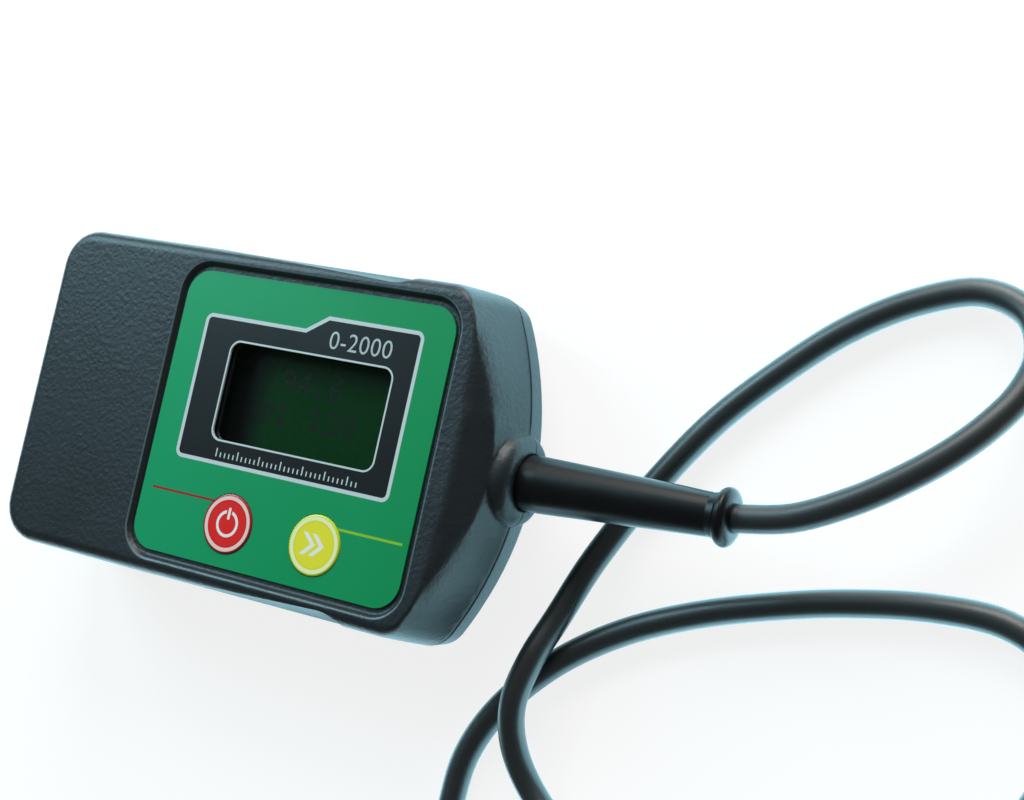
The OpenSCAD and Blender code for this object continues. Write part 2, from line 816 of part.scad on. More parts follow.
// Soft tapered boot, locked in the collar by its flange and ended by a bead
module cable_boot() {
    tip_x = boot_l + 1;
    bead_x = tip_x - bead_t / 2;
    neck = 1.2;
    bead_end_r = cable_r + 0.5;
    root_r = boot_root_r - 0.1;
    inset = 0.5;
    color("#17191b") translate([0, 0, part_z]) {
        turned([
            [0, collar_root_x - boot_tail],
            [boot_root_r - 1, collar_root_x - boot_tail],
            [boot_root_r, collar_root_x],
            [boot_root_r, flange_x],
            [flange_r, flange_x],
            [flange_r, flange_x + flange_t],
            [boot_root_r, flange_x + flange_t],
            [boot_root_r, boot_pivot_x],
            [0, boot_pivot_x]
        ]);
        translate([boot_pivot_x, 0, 0]) rotate([0, 0, boot_lean]) turned(concat(
            [[0, -inset], [root_r, -inset], [root_r, 4], [boot_tip_r, tip_x - bead_t - neck]],
            [for (a = [15 : 15 : 90])
                [boot_tip_r + (bead_r - boot_tip_r) * sin(a), bead_x - bead_t / 2 * cos(a)]],
            [for (a = [105 : 15 : 180])
                [bead_end_r + (bead_r - bead_end_r) * sin(a), bead_x - bead_t / 2 * cos(a)]],
            [[0, tip_x]]
        ));
    }
}

module probe_cable() {
    color("#1b1d1f") tube(smooth(ROUTE, 2), cable_r);
}

// Outer shape of the wound spare cable
module cable_coil() {
    color("#1b1d1f") translate([coil_c[0], coil_c[1], tie_t]) rotate_extrude($fn = 72)
        translate([coil_turn_r, coil_h / 2]) round_rect(coil_w, coil_h, cable_r);
}

// Strap round the coil
module cable_tie() {
    outer_w = coil_w + 2 * tie_t;
    color("#101112") translate([coil_c[0] + coil_turn_r, coil_c[1], coil_h / 2 + tie_t]) rotate([90, 0, 0])
        linear_extrude(tie_w, center = true) difference() {
            round_rect(outer_w, coil_h + 2 * tie_t, cable_r + tie_t);
            round_rect(coil_w + 0.6, coil_h, cable_r);
        }
}

module cable_tail() {
    color("#1b1d1f") tube(smooth(TAIL, 3), cable_r);
}

// Places a shape turned about X on the probe's axis
module on_probe(x) {
    translate([x, probe_y, probe_z]) children();
}

module probe_boot() {
    color("#17191b") on_probe(probe_boot_x) turned([
        [0, 0], [probe_boot_r - 0.4, 0], [probe_boot_r, 0.5],
        [probe_boot_r + 1.6, probe_boot_l], [0, probe_boot_l]
    ]);
}

// Probe handle with a waist of finger grooves
module probe_body() {
    r = probe_d / 2;
    grooves = 5;
    groove_pitch = 3;
    start = probe_l - grooves * groove_pitch - 4;
    color("#1d2023") on_probe(probe_x) turned(concat(
        [[0, 0], [r - 1.5, 0], [r, 1.5]],
        [for (i = [0 : grooves - 1], q = [[0, 0], [0.8, 0.6], [1.6, 0.6], [2.4, 0]])
            [r - q[1], start + i * groove_pitch + q[0]]],
        [[r, probe_l - 1], [r - 1, probe_l], [0, probe_l]]
    ));
}

module probe_nose() {
    r = probe_d / 2;
    color("#8f9499") on_probe(probe_x + probe_l) turned([
        [0, 0], [r - 1.4, 0], [r - 1.4, nose_l * 0.5], [r - 2.6, nose_l], [0, nose_l]
    ]);
}

module probe_tip() {
    color("#c9ccd0") on_probe(probe_x + probe_l + nose_l) turned(concat(
        [[0, 0]],
        [for (a = [0 : 15 : 90]) [tip_r * cos(a), tip_r * 0.6 * sin(a)]]
    ));
}

front_shell();
back_shell();
battery_door();
face_label();
display_pane();
display_frame();
display_glass();
display_backlight();
display_board();
display_header();
main_board();
controller_chip();
amplifier_chip();
regulator_chip();
crystal();
filter_capacitors();
power_switch();
function_switch();
power_key();
function_key();
battery();
battery_studs();
battery_clip();
battery_leads();
sensor_connector();
sensor_leads();
board_screws();
case_screws();
cable_boot();
probe_cable();
cable_coil();
cable_tie();
cable_tail();
probe_boot();
probe_body();
probe_nose();
probe_tip();
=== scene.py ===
"""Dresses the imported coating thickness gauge: housing, printed label, display, keys and probe cable."""

import logging
import math
from dataclasses import dataclass, field
from enum import Enum
from typing import Dict, List, Mapping, Optional, Sequence, Tuple, Union

import bmesh
import bpy
import numpy as np
from mathutils import Matrix, Vector
from mathutils.bvhtree import BVHTree


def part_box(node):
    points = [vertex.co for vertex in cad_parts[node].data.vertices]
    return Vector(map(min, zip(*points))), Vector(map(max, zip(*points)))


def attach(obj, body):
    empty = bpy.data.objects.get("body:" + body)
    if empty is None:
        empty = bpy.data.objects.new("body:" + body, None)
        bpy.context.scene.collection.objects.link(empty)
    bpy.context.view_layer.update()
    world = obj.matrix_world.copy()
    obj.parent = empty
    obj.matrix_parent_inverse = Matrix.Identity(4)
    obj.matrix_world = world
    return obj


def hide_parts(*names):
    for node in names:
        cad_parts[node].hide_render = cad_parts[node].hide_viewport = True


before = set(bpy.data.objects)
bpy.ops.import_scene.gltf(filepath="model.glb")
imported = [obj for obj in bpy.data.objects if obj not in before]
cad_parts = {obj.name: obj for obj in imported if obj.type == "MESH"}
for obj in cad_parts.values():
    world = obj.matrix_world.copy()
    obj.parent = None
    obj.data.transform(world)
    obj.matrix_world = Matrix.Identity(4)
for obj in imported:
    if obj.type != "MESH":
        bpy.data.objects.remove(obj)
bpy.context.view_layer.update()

LOG = logging.getLogger("gauge")
MM = 0.001
HOUSING = "housing"

# Plain tuples: Edges are left, low, right and high; a RoundBox is length, width and corner radius.
Colour = Tuple[float, float, float, float]
Edges = Tuple[float, float, float, float]
Point = Tuple[float, float, float]
RoundBox = Tuple[float, float, float]
Pair = Tuple[float, float]
Socket = bpy.types.NodeSocket
Material = bpy.types.Material
Piece = bpy.types.Object
Shape = bmesh.types.BMesh

WHITE: Colour = (1.0, 1.0, 1.0, 1.0)
BLACK: Colour = (0.0, 0.0, 0.0, 1.0)


def srgb(red: int, green: int, blue: int) -> Colour:
    """Turns a screen colour into the linear one that the shaders take.

    Args:
        red: Red from 0 to 255.
        green: Green from 0 to 255.
        blue: Blue from 0 to 255.

    Returns:
        The linear colour with full alpha.
    """
    parts = []
    for level in (red, green, blue):
        share = level / 255
        parts.append(share / 12.92 if share <= 0.04045 else ((share + 0.055) / 1.055) ** 2.4)
    return (parts[0], parts[1], parts[2], 1.0)


def darker(colour: Colour, share: float) -> Colour:
    """Gives that share of a colour, with full alpha."""
    return (colour[0] * share, colour[1] * share, colour[2] * share, 1.0)


def ease(place: float, start: float, end: float) -> float:
    """Rises smoothly from 0 at start to 1 at end."""
    share = min(max((place - start) / (end - start), 0.0), 1.0)
    return share * share * (3 - 2 * share)


class Value:
    """One number that varies over a surface; operators on it add Math nodes."""

    def __init__(self, graph: "Graph", socket: Socket) -> None:
        """Wraps a socket of that graph."""
        self.graph = graph
        self.socket = socket

    def __add__(self, other: "Operand") -> "Value":
        """Adds."""
        return self.graph.math("ADD", self, other)

    def __radd__(self, other: "Operand") -> "Value":
        """Adds to a number."""
        return self.graph.math("ADD", other, self)

    def __sub__(self, other: "Operand") -> "Value":
        """Takes away."""
        return self.graph.math("SUBTRACT", self, other)

    def __rsub__(self, other: "Operand") -> "Value":
        """Takes this away from a number."""
        return self.graph.math("SUBTRACT", other, self)

    def __mul__(self, other: "Operand") -> "Value":
        """Multiplies."""
        return self.graph.math("MULTIPLY", self, other)

    def __rmul__(self, other: "Operand") -> "Value":
        """Multiplies a number."""
        return self.graph.math("MULTIPLY", other, self)

    def __truediv__(self, other: "Operand") -> "Value":
        """Divides."""
        return self.graph.math("DIVIDE", self, other)

    def __rtruediv__(self, other: "Operand") -> "Value":
        """Divides a number by this."""
        return self.graph.math("DIVIDE", other, self)

    def __abs__(self) -> "Value":
        """Drops the sign."""
        return self.graph.math("ABSOLUTE", self)

    def __neg__(self) -> "Value":
        """Turns the sign round."""
        return 0.0 - self

    def low(self, other: "Operand") -> "Value":
        """Gives the lower of the two."""
        return self.graph.math("MINIMUM", self, other)

    def high(self, other: "Operand") -> "Value":
        """Gives the higher of the two."""
        return self.graph.math("MAXIMUM", self, other)

    def root(self) -> "Value":
        """Gives the square root."""
        return self.graph.math("SQRT", self)

    def clamped(self) -> "Value":
        """Keeps the number from 0 to 1."""
        return self.high(0.0).low(1.0)

    def repeated(self, pitch: float) -> "Value":
        """Gives the distance to the nearest whole multiple of a pitch."""
        return self.graph.math("PINGPONG", self, pitch / 2)


Operand = Union[Value, float]
SocketInput = Union[Value, Socket, float, Sequence[float]]


class Graph:
    """The node tree of one material, or of the world."""

    EDGE_MM = 0.07
    EDGE_SAMPLES = 8

    def __init__(self, name: str, world: bool = False) -> None:
        """Starts an empty node tree.

        Args:
            name: Name of the new material or world.
            world: Whether it is a world.
        """
        self.owner = (bpy.data.worlds if world else bpy.data.materials).new(name)
        self.owner.use_nodes = True
        self.tree = self.owner.node_tree
        self.tree.nodes.clear()

    def node(
        self,
        kind: str,
        settings: Mapping[str, object] = {},
        inputs: Mapping[Union[str, int], SocketInput] = {},
    ) -> bpy.types.Node:
        """Adds a node, sets its own settings first and then its sockets.

        Args:
            kind: Blender's name of the node type.
            settings: The node's own settings.
            inputs: A value or a link for each socket, by name or number.

        Returns:
            The new node.
        """
        node = self.tree.nodes.new(kind)
        for name, setting in settings.items():
            setattr(node, name, setting)
        for key, value in inputs.items():
            socket = node.inputs[key]
            if isinstance(value, Value):
                self.tree.links.new(value.socket, socket)
            elif isinstance(value, Socket):
                self.tree.links.new(value, socket)
            else:
                socket.default_value = value
        return node

    def math(self, operation: str, *operands: Operand) -> Value:
        """Adds a Math node on values or numbers."""
        node = self.node("ShaderNodeMath", {"operation": operation}, dict(enumerate(operands)))
        return Value(self, node.outputs[0])

    def mix(self, share: Operand, start: SocketInput, end: SocketInput) -> Socket:
        """Mixes two colours.

        Args:
            share: How much of the second colour there is.
            start: The first colour.
            end: The second colour.

        Returns:
            The socket of the mixed colour.
        """
        settings = {"data_type": "RGBA"}
        return self.node("ShaderNodeMix", settings, {0: share, 6: start, 7: end}).outputs[2]

    def place(self) -> Socket:
        """Gives the place on the object, in metres."""
        return self.node("ShaderNodeTexCoord").outputs["Object"]

    def place_mm(self) -> Tuple[Value, Value, Value]:
        """Gives the place on the object along X, Y and Z, in millimetres."""
        parts = self.node("ShaderNodeSeparateXYZ", {}, {0: self.place()}).outputs
        return tuple(Value(self, part) / MM for part in parts)

    def noise(self, size_mm: float, detail: float = 2.0, stretch: Point = (1.0, 1.0, 1.0)) -> Value:
        """Adds noise of a given grain.

        Args:
            size_mm: Size of a grain.
            detail: Octaves of finer grain on top.
            stretch: How much finer the grain is along X, Y and Z.

        Returns:
            The noise from 0 to 1.
        """
        settings = {"operation": "MULTIPLY"}
        vector = self.node("ShaderNodeVectorMath", settings, {0: self.place(), 1: stretch}).outputs[0]
        inputs = {"Vector": vector, "Scale": 1 / (size_mm * MM), "Detail": detail}
        return Value(self, self.node("ShaderNodeTexNoise", {}, inputs).outputs[0])

    def cells(self, size_mm: float) -> Value:
        """Gives the distance from the middle of the nearest random cell, in cells."""
        inputs = {"Vector": self.place(), "Scale": 1 / (size_mm * MM)}
        return Value(self, self.node("ShaderNodeTexVoronoi", {"feature": "SMOOTH_F1"}, inputs).outputs[0])

    def bump(self, height: Value, depth_mm: float, edge_mm: float = 0.0) -> Socket:
        """Turns a height into a surface normal.

        Args:
            height: The height from 0 to 1.
            depth_mm: How deep the relief is.
            edge_mm: Radius that the piece's edges seem to have, where they are moulded round.

        Returns:
            The socket of the normal.
        """
        inputs = {"Strength": 1.0, "Distance": depth_mm * MM, "Height": height}
        if edge_mm:
            edges = self.node("ShaderNodeBevel", {"samples": self.EDGE_SAMPLES}, {"Radius": edge_mm * MM})
            inputs["Normal"] = edges.outputs[0]
        return self.node("ShaderNodeBump", {}, inputs).outputs[0]

    def round_box(self, x: Value, y: Value, length: float, width: float, radius: float) -> Value:
        """Gives the distance from a rectangle with round corners, negative inside.

        Args:
            x: Distance from its middle, along.
            y: Distance from its middle, across.
            length: Length along X.
            width: Width along Y.
            radius: Radius of the corners.

        Returns:
            The signed distance.
        """
        over_x = abs(x) - (length / 2 - radius)
        over_y = abs(y) - (width / 2 - radius)
        out_x = over_x.high(0.0)
        out_y = over_y.high(0.0)
        return (out_x * out_x + out_y * out_y).root() + over_x.high(over_y).low(0.0) - radius

    def inside(self, distance: Value) -> Value:
        """Is 1 where a signed distance is negative, with a fine soft edge."""
        return (0.5 - distance / self.EDGE_MM).clamped()

    def band(self, distance: Value, start: float, end: float) -> Value:
        """Is 1 where a signed distance lies from start to end."""
        return self.inside(abs(distance - (start + end) / 2) - (end - start) / 2)

    def finish(self, **inputs: SocketInput) -> Material:
        """Ends the tree in a Principled shader.

        Args:
            **inputs: The shader's sockets, with underscores for spaces.

        Returns:
            The finished material.
        """
        named = {name.replace("_", " "): value for name, value in inputs.items()}
        shader = self.node("ShaderNodeBsdfPrincipled", {}, named)
        self.node("ShaderNodeOutputMaterial", {}, {"Surface": shader.outputs[0]})
        return self.owner


@dataclass(frozen=True)
class Moulding:
    """Moulded plastic or rubber with faint mottling and a fine grain."""

    name: str
    colour: Colour
    roughness: float
    grain_mm: float = 0.5
    depth_mm: float = 0.01
    mottle: float = 0.25
    gloss: float = 0.5
    patch_mm: float = 9.0
    uneven: float = 0.12

    def material(self) -> Material:
        """Makes the material.

        Returns:
            The new material.
        """
        graph = Graph(self.name)
        grain = graph.noise(self.grain_mm, detail=3.0)
        patches = graph.noise(self.patch_mm)
        return graph.finish(
            Base_Color=graph.mix(patches, darker(self.colour, 1 - self.mottle), self.colour),
            Roughness=self.roughness + (patches - 0.5) * self.uneven,
            Normal=graph.bump(grain, self.depth_mm),
            Specular_IOR_Level=self.gloss,
        )


@dataclass(frozen=True)
class SparkErodedPlastic:
    """Satin plastic from a spark-eroded mould: rounded pebbles under a fine grit, with a painted highlight
    line on the top face just outside the label recess.
    """

    name: str = "spark_eroded_plastic"
    colour: Colour = srgb(20, 27, 31)
    worn: Colour = srgb(29, 38, 43)
    pebble_mm: float = 0.75
    grit_mm: float = 0.28
    depth_mm: float = 0.09
    edge_mm: float = 0.9
    # Painted highlight: a pale line on the top face just outside the label recess stands in for light
    # caught along the rim. The rim fields below place it, and the last pair sets its patchy strength.
    painted_highlight: Colour = srgb(92, 110, 116)
    rim_at: Pair = (10.0, 0.0)
    rim_size: RoundBox = (63.8, 57.6, 6.4)
    rim_band: Pair = (-0.1, 0.25)
    rim_from_z: float = 26.2
    painted_highlight_share: Pair = (0.55, 0.4)
    patch_mm: float = 14.0
    pebble_share: float = 0.62
    patch_share: float = 0.7
    roughness: float = 0.32
    uneven: float = 0.1
    hollow_rough: float = 0.06

    def material(self) -> Material:
        """Makes the material.

        Returns:
            The new material.
        """
        graph = Graph(self.name)
        pebbles = graph.cells(self.pebble_mm)
        grit = graph.noise(self.grit_mm)
        patches = graph.noise(self.patch_mm, detail=3.0)
        height = self.pebble_share * pebbles + (1 - self.pebble_share) * grit
        x, y, z = graph.place_mm()
        rim = graph.round_box(x - self.rim_at[0], y - self.rim_at[1], *self.rim_size)
        # Mask of the painted highlight line along the recess rim. It also makes the surface there a little
        # smoother.
        painted_highlight_line = graph.band(rim, *self.rim_band) * graph.inside(self.rim_from_z - z)
        wear = patches * self.patch_share + height * (1 - self.patch_share)
        colour = graph.mix(wear, self.colour, self.worn)
        return graph.finish(
            Base_Color=graph.mix(painted_highlight_line * (self.painted_highlight_share[0] + patches * self.painted_highlight_share[1]), colour, self.painted_highlight),
            Roughness=self.roughness + (patches - painted_highlight_line) * self.uneven + (1 - height) * self.hollow_rough,
            Normal=graph.bump(height, self.depth_mm, self.edge_mm),
        )


@dataclass(frozen=True)
class Metal:
    """Bare metal with fine tool marks that run round or along the piece."""

    name: str
    colour: Colour
    roughness: float
    marks: Point = (1.0, 1.0, 1.0)
    mark_mm: float = 0.5
    mark_depth_mm: float = 0.006
    stain_mm: float = 5.0
    stain_share: float = 0.8
    uneven: float = 0.16

    def material(self) -> Material:
        """Makes the material.

        Returns:
            The new material.
        """
        graph = Graph(self.name)
        lines = graph.noise(self.mark_mm, detail=3.0, stretch=self.marks)
        stain = graph.noise(self.stain_mm)
        return graph.finish(
            Base_Color=graph.mix(stain, darker(self.colour, self.stain_share), self.colour),
            Metallic=1.0,
            Roughness=self.roughness + (lines - 0.5) * self.uneven,
            Normal=graph.bump(lines, self.mark_depth_mm),
        )


@dataclass(frozen=True)
class SolderMask:
    """Green lacquer on a circuit board with copper tracks showing through."""

    name: str = "solder_mask"
    field_colour: Colour = srgb(22, 92, 58)
    track_colour: Colour = srgb(44, 128, 82)
    track_pitch_mm: float = 2.54
    track_mm: float = 0.5
    track_depth_mm: float = 0.02
    sway_size_mm: float = 12.0
    sway_mm: float = 6.0
    roughness: float = 0.34
    track_smooth: float = 0.08

    def material(self) -> Material:
        """Makes the material.

        Returns:
            The new material.
        """
        graph = Graph(self.name)
        x, y, _ = graph.place_mm()
        sway = graph.noise(self.sway_size_mm, detail=1.0) * self.sway_mm
        along = (x + sway).repeated(self.track_pitch_mm) - self.track_mm / 2
        across = (y - sway).repeated(self.track_pitch_mm * 2) - self.track_mm / 2
        tracks = graph.inside(along.low(across))
        return graph.finish(
            Base_Color=graph.mix(tracks, self.field_colour, self.track_colour),
            Roughness=self.roughness - tracks * self.track_smooth,
            Normal=graph.bump(tracks, self.track_depth_mm),
        )


@dataclass(frozen=True)
class FilmPrint:
    """Printed face of the label: green film with painted light, lighter at low X and painted shade at high
    X, dark panel with a pale line, underlines and a scale.
    """

    name: str = "label_film"
    label_x: float = 10.0
    # These two greens are the painted lit side and the painted shaded side of the same film.
    green: Colour = srgb(8, 152, 98)
    painted_shade_green: Colour = srgb(4, 138, 78)
    panel: Colour = srgb(15, 18, 20)
    silver: Colour = srgb(196, 208, 208)
    red: Colour = srgb(150, 40, 32)
    lime: Colour = srgb(140, 190, 40)
    panel_box: Edges = (-24.6, -8.8, 24.4, 22.0)
    panel_r: float = 1.6
    step_y: float = 19.06
    step_from: Pair = (-1.5, 18.9)
    step_to: Pair = (3.35, 22.0)
    line_mm: float = 0.72
    window_at: Pair = (1.2, 5.2)
    window_size: Pair = (36.6, 18.5)
    window_r: float = 2.0
    window_line_mm: float = 0.34
    red_line: Edges = (-28.1, -15.55, -12.6, -15.1)
    lime_line: Edges = (15.2, -15.4, 29.2, -14.95)
    scale_from: Pair = (-15.0, -7.3)
    scale_l: float = 32.0
    scale_pitch: float = 1.0
    scale_long: int = 5
    tick_mm: float = 0.26
    tick_h: float = 0.9
    tick_long_h: float = 1.6
    bar_r: float = 0.1
    patch_mm: float = 16.0
    painted_light_mm: float = 90.0
    painted_light_cloud: float = 0.3
    grain_mm: float = 0.22
    relief_mm: float = 0.008
    ink_relief: float = 0.6
    roughness: float = 0.34
    uneven: float = 0.08
    ink_smooth: float = 0.06
    gloss: float = 0.34

    def material(self) -> Material:
        """Makes the material.

        Returns:
            The new material.
        """
        graph = Graph(self.name)
        x, y, _ = graph.place_mm()
        x = x - self.label_x
        panel = self._panel(graph, x, y)
        window = graph.round_box(
            x - self.window_at[0], y - self.window_at[1], *self.window_size, self.window_r
        )
        pale = graph.band(panel, -self.line_mm, 0.0)
        pale = pale.high(graph.inside(window - self.window_line_mm))
        pale = pale.high(self._scale(graph, x, y))
        patches = graph.noise(self.patch_mm)
        # Painted light and shade: the green lightens towards low X and darkens towards high X, with a
        # patchy edge.
        painted_light = (0.5 - x / self.painted_light_mm + (patches - 0.5) * self.painted_light_cloud).clamped()
        colour = graph.mix(painted_light, self.painted_shade_green, self.green)
        for edges, ink in ((self.red_line, self.red), (self.lime_line, self.lime)):
            left, low, right, high = edges
            middle = (x - (left + right) / 2, y - (low + high) / 2)
            bar = graph.round_box(*middle, right - left, high - low, self.bar_r)
            colour = graph.mix(graph.inside(bar), colour, ink)
        colour = graph.mix(graph.inside(panel), colour, self.panel)
        colour = graph.mix(pale, colour, self.silver)
        grain = graph.noise(self.grain_mm)
        return graph.finish(
            Base_Color=colour,
            Roughness=self.roughness + (patches - 0.5) * self.uneven - pale * self.ink_smooth,
            Normal=graph.bump(grain + pale * self.ink_relief, self.relief_mm),
            Specular_IOR_Level=self.gloss,
        )

    def _panel(self, graph: Graph, x: Value, y: Value) -> Value:
        """Gives the distance from the dark panel, whose upper edge steps up on the right.

        Args:
            graph: The material's nodes.
            x: Place along the label.
            y: Place across the label.

        Returns:
            The signed distance.
        """
        left, low, right, high = self.panel_box
        across = x - (left + right) / 2
        lower, box = (
            graph.round_box(across, y - (low + top) / 2, right - left, top - low, self.panel_r)
            for top in (self.step_y, high)
        )
        run = self.step_to[0] - self.step_from[0]
        rise = self.step_to[1] - self.step_from[1]
        slope = math.hypot(run, rise)
        ramp = (y - self.step_from[1]) * (run / slope) - (x - self.step_from[0]) * (rise / slope)
        return lower.low(box.high(ramp))

    def _scale(self, graph: Graph, x: Value, y: Value) -> Value:
        """Is 1 on the ticks of the plain scale under the window.

        Args:
            graph: The material's nodes.
            x: Place along the label.
            y: Place across the label.

        Returns:
            The mask from 0 to 1.
        """
        from_start = x - self.scale_from[0]
        up = y - self.scale_from[1]
        extent = abs(from_start - self.scale_l / 2) - (self.scale_l / 2 + self.tick_mm)
        fine, bold = (
            (from_start.repeated(pitch) - self.tick_mm / 2).high(abs(up - height / 2) - height / 2)
            for pitch, height in (
                (self.scale_pitch, self.tick_h),
                (self.scale_pitch * self.scale_long, self.tick_long_h),
            )
        )
        return graph.inside(fine.low(bold).high(extent))


class KeySymbol(Enum):
    """The printed sign on a key."""

    POWER = "power"
    NEXT = "next"


@dataclass(frozen=True)
class KeyPrint:
    """Printed cap of a key: rim, pale ring, coloured disc and a sign."""

    name: str
    centre: Pair
    radius: float
    disc: Colour
    rim: Colour
    ring: Colour
    sign: Colour
    symbol: KeySymbol
    # Rings, signs and strokes are shares of the key's radius.
    disc_r: float = 0.93
    ring_at: float = 0.86
    ring_half: float = 0.062
    hairline_at: float = 0.765
    hairline_half: float = 0.02
    hairline_share: float = 0.5
    power_r: float = 0.4
    power_stroke: float = 0.1
    power_gap: float = 1.15
    power_bar_at: float = 0.85
    power_bar_r: float = 0.4
    chevron_r: float = 0.36
    chevron_stroke: float = 0.13
    chevrons_at: Pair = (-0.12, 0.88)
    soft_mm: float = 2.0
    relief_mm: float = 0.01
    ink_relief: float = 0.4
    roughness: float = 0.3
    uneven: float = 0.1

    def material(self) -> Material:
        """Makes the material.

        Returns:
            The new material.
        """
        graph = Graph(self.name)
        x, y, _ = graph.place_mm()
        x = x - self.centre[0]
        y = y - self.centre[1]
        out = (x * x + y * y).root() / self.radius
        sign = self._power(graph, x, y) if self.symbol is KeySymbol.POWER else self._next(graph, x, y)
        soft = graph.noise(self.soft_mm)
        ring = graph.inside((abs(out - self.ring_at) - self.ring_half) * self.radius)
        hairline = graph.inside((abs(out - self.hairline_at) - self.hairline_half) * self.radius)
        colour = graph.mix(graph.inside((out - self.disc_r) * self.radius), self.rim, self.disc)
        colour = graph.mix(hairline * self.hairline_share, colour, self.rim)
        colour = graph.mix(ring, colour, self.ring)
        colour = graph.mix(sign, colour, self.sign)
        return graph.finish(
            Base_Color=colour,
            Roughness=self.roughness + (soft - 0.5) * self.uneven,
            Normal=graph.bump(soft + ring.high(sign) * self.ink_relief, self.relief_mm),
        )

    def _power(self, graph: Graph, x: Value, y: Value) -> Value:
        """Draws the usual power sign: an open ring with an upright stroke.

        Args:
            graph: The material's nodes.
            x: Distance from the key's middle, along.
            y: Distance from the key's middle, across.

        Returns:
            The mask from 0 to 1.
        """
        size = self.radius * self.power_r
        stroke = self.radius * self.power_stroke
        ring = abs((x * x + y * y).root() - size) - stroke / 2
        gap = abs(x) - stroke * self.power_gap
        open_ring = ring.high(-gap.high(-y))
        bar = graph.round_box(x, y - size * self.power_bar_at, stroke, size, stroke * self.power_bar_r)
        return graph.inside(open_ring.low(bar))

    def _next(self, graph: Graph, x: Value, y: Value) -> Value:
        """Draws a plain double chevron that points along the housing.

        Args:
            graph: The material's nodes.
            x: Distance from the key's middle, along.
            y: Distance from the key's middle, across.

        Returns:
            The mask from 0 to 1.
        """
        size = self.radius * self.chevron_r
        stroke = self.radius * self.chevron_stroke
        first, second = (
            abs(x + abs(y) - size * place) * math.sqrt(0.5) - stroke / 2 for place in self.chevrons_at
        )
        return graph.inside(first.low(second).high(abs(y) - size))


@dataclass(frozen=True)
class LiquidCrystal:
    """Dark green liquid crystal glass with painted shade that darkens it to near black towards its left
    end.
    """

    name: str = "liquid_crystal"
    lit: Colour = srgb(9, 60, 24)
    # Painted shade: the glass's colour at its left end, where the window's deep wall shades it.
    painted_shade: Colour = srgb(16, 23, 22)
    painted_shade_x: float = -1.5
    lit_x: float = 3.0
    cloud_size_mm: float = 5.0
    cloud_mm: float = 2.0
    roughness: float = 0.24
    uneven: float = 0.08
    gloss: float = 0.15

    def material(self) -> Material:
        """Makes the material.

        Returns:
            The new material.
        """
        graph = Graph(self.name)
        x, _, _ = graph.place_mm()
        cloud = graph.noise(self.cloud_size_mm)
        # Painted shade: the glass darkens to near black at low X, with a patchy edge.
        share = ((x + cloud * self.cloud_mm - self.painted_shade_x) / (self.lit_x - self.painted_shade_x)).clamped()
        return graph.finish(
            Base_Color=graph.mix(share, self.painted_shade, self.lit),
            Roughness=self.roughness + cloud * self.uneven,
            Specular_IOR_Level=self.gloss,
        )


@dataclass(frozen=True)
class ClearPane:
    """Clear acrylic: nearly all of what lies behind it shows through."""

    name: str = "clear_acrylic"
    tint: Colour = srgb(12, 18, 16)
    cover: float = 0.1
    smear_mm: float = 7.0
    smear_cover: float = 0.05
    roughness: float = 0.06
    uneven: float = 0.06
    gloss: float = 0.2

    def material(self) -> Material:
        """Makes the material.

        Returns:
            The new material.
        """
        graph = Graph(self.name)
        smear = graph.noise(self.smear_mm, detail=3.0)
        return graph.finish(
            Base_Color=self.tint,
            Roughness=self.roughness + smear * self.uneven,
            Alpha=self.cover + (smear - 0.5) * self.smear_cover,
            Specular_IOR_Level=self.gloss,
        )


@dataclass(frozen=True)
class BatteryWrap:
    """Printed steel can of a block battery: dark body and a plain copper band."""

    name: str = "battery_wrap"
    body: Colour = srgb(38, 42, 46)
    band: Colour = srgb(176, 112, 62)
    band_from_y: float = 4.0
    metallic: float = 0.4
    scuff_mm: float = 3.0
    scuff_depth_mm: float = 0.01
    roughness: float = 0.32
    uneven: float = 0.14

    def material(self) -> Material:
        """Makes the material.

        Returns:
            The new material.
        """
        graph = Graph(self.name)
        _, y, _ = graph.place_mm()
        scuff = graph.noise(self.scuff_mm, detail=3.0)
        return graph.finish(
            Base_Color=graph.mix(graph.inside(self.band_from_y - y), self.body, self.band),
            Metallic=self.metallic,
            Roughness=self.roughness + scuff * self.uneven,
            Normal=graph.bump(scuff, self.scuff_depth_mm),
        )


Finish = Union[
    Moulding, SparkErodedPlastic, Metal, SolderMask, FilmPrint, KeyPrint, LiquidCrystal, ClearPane,
    BatteryWrap,
]


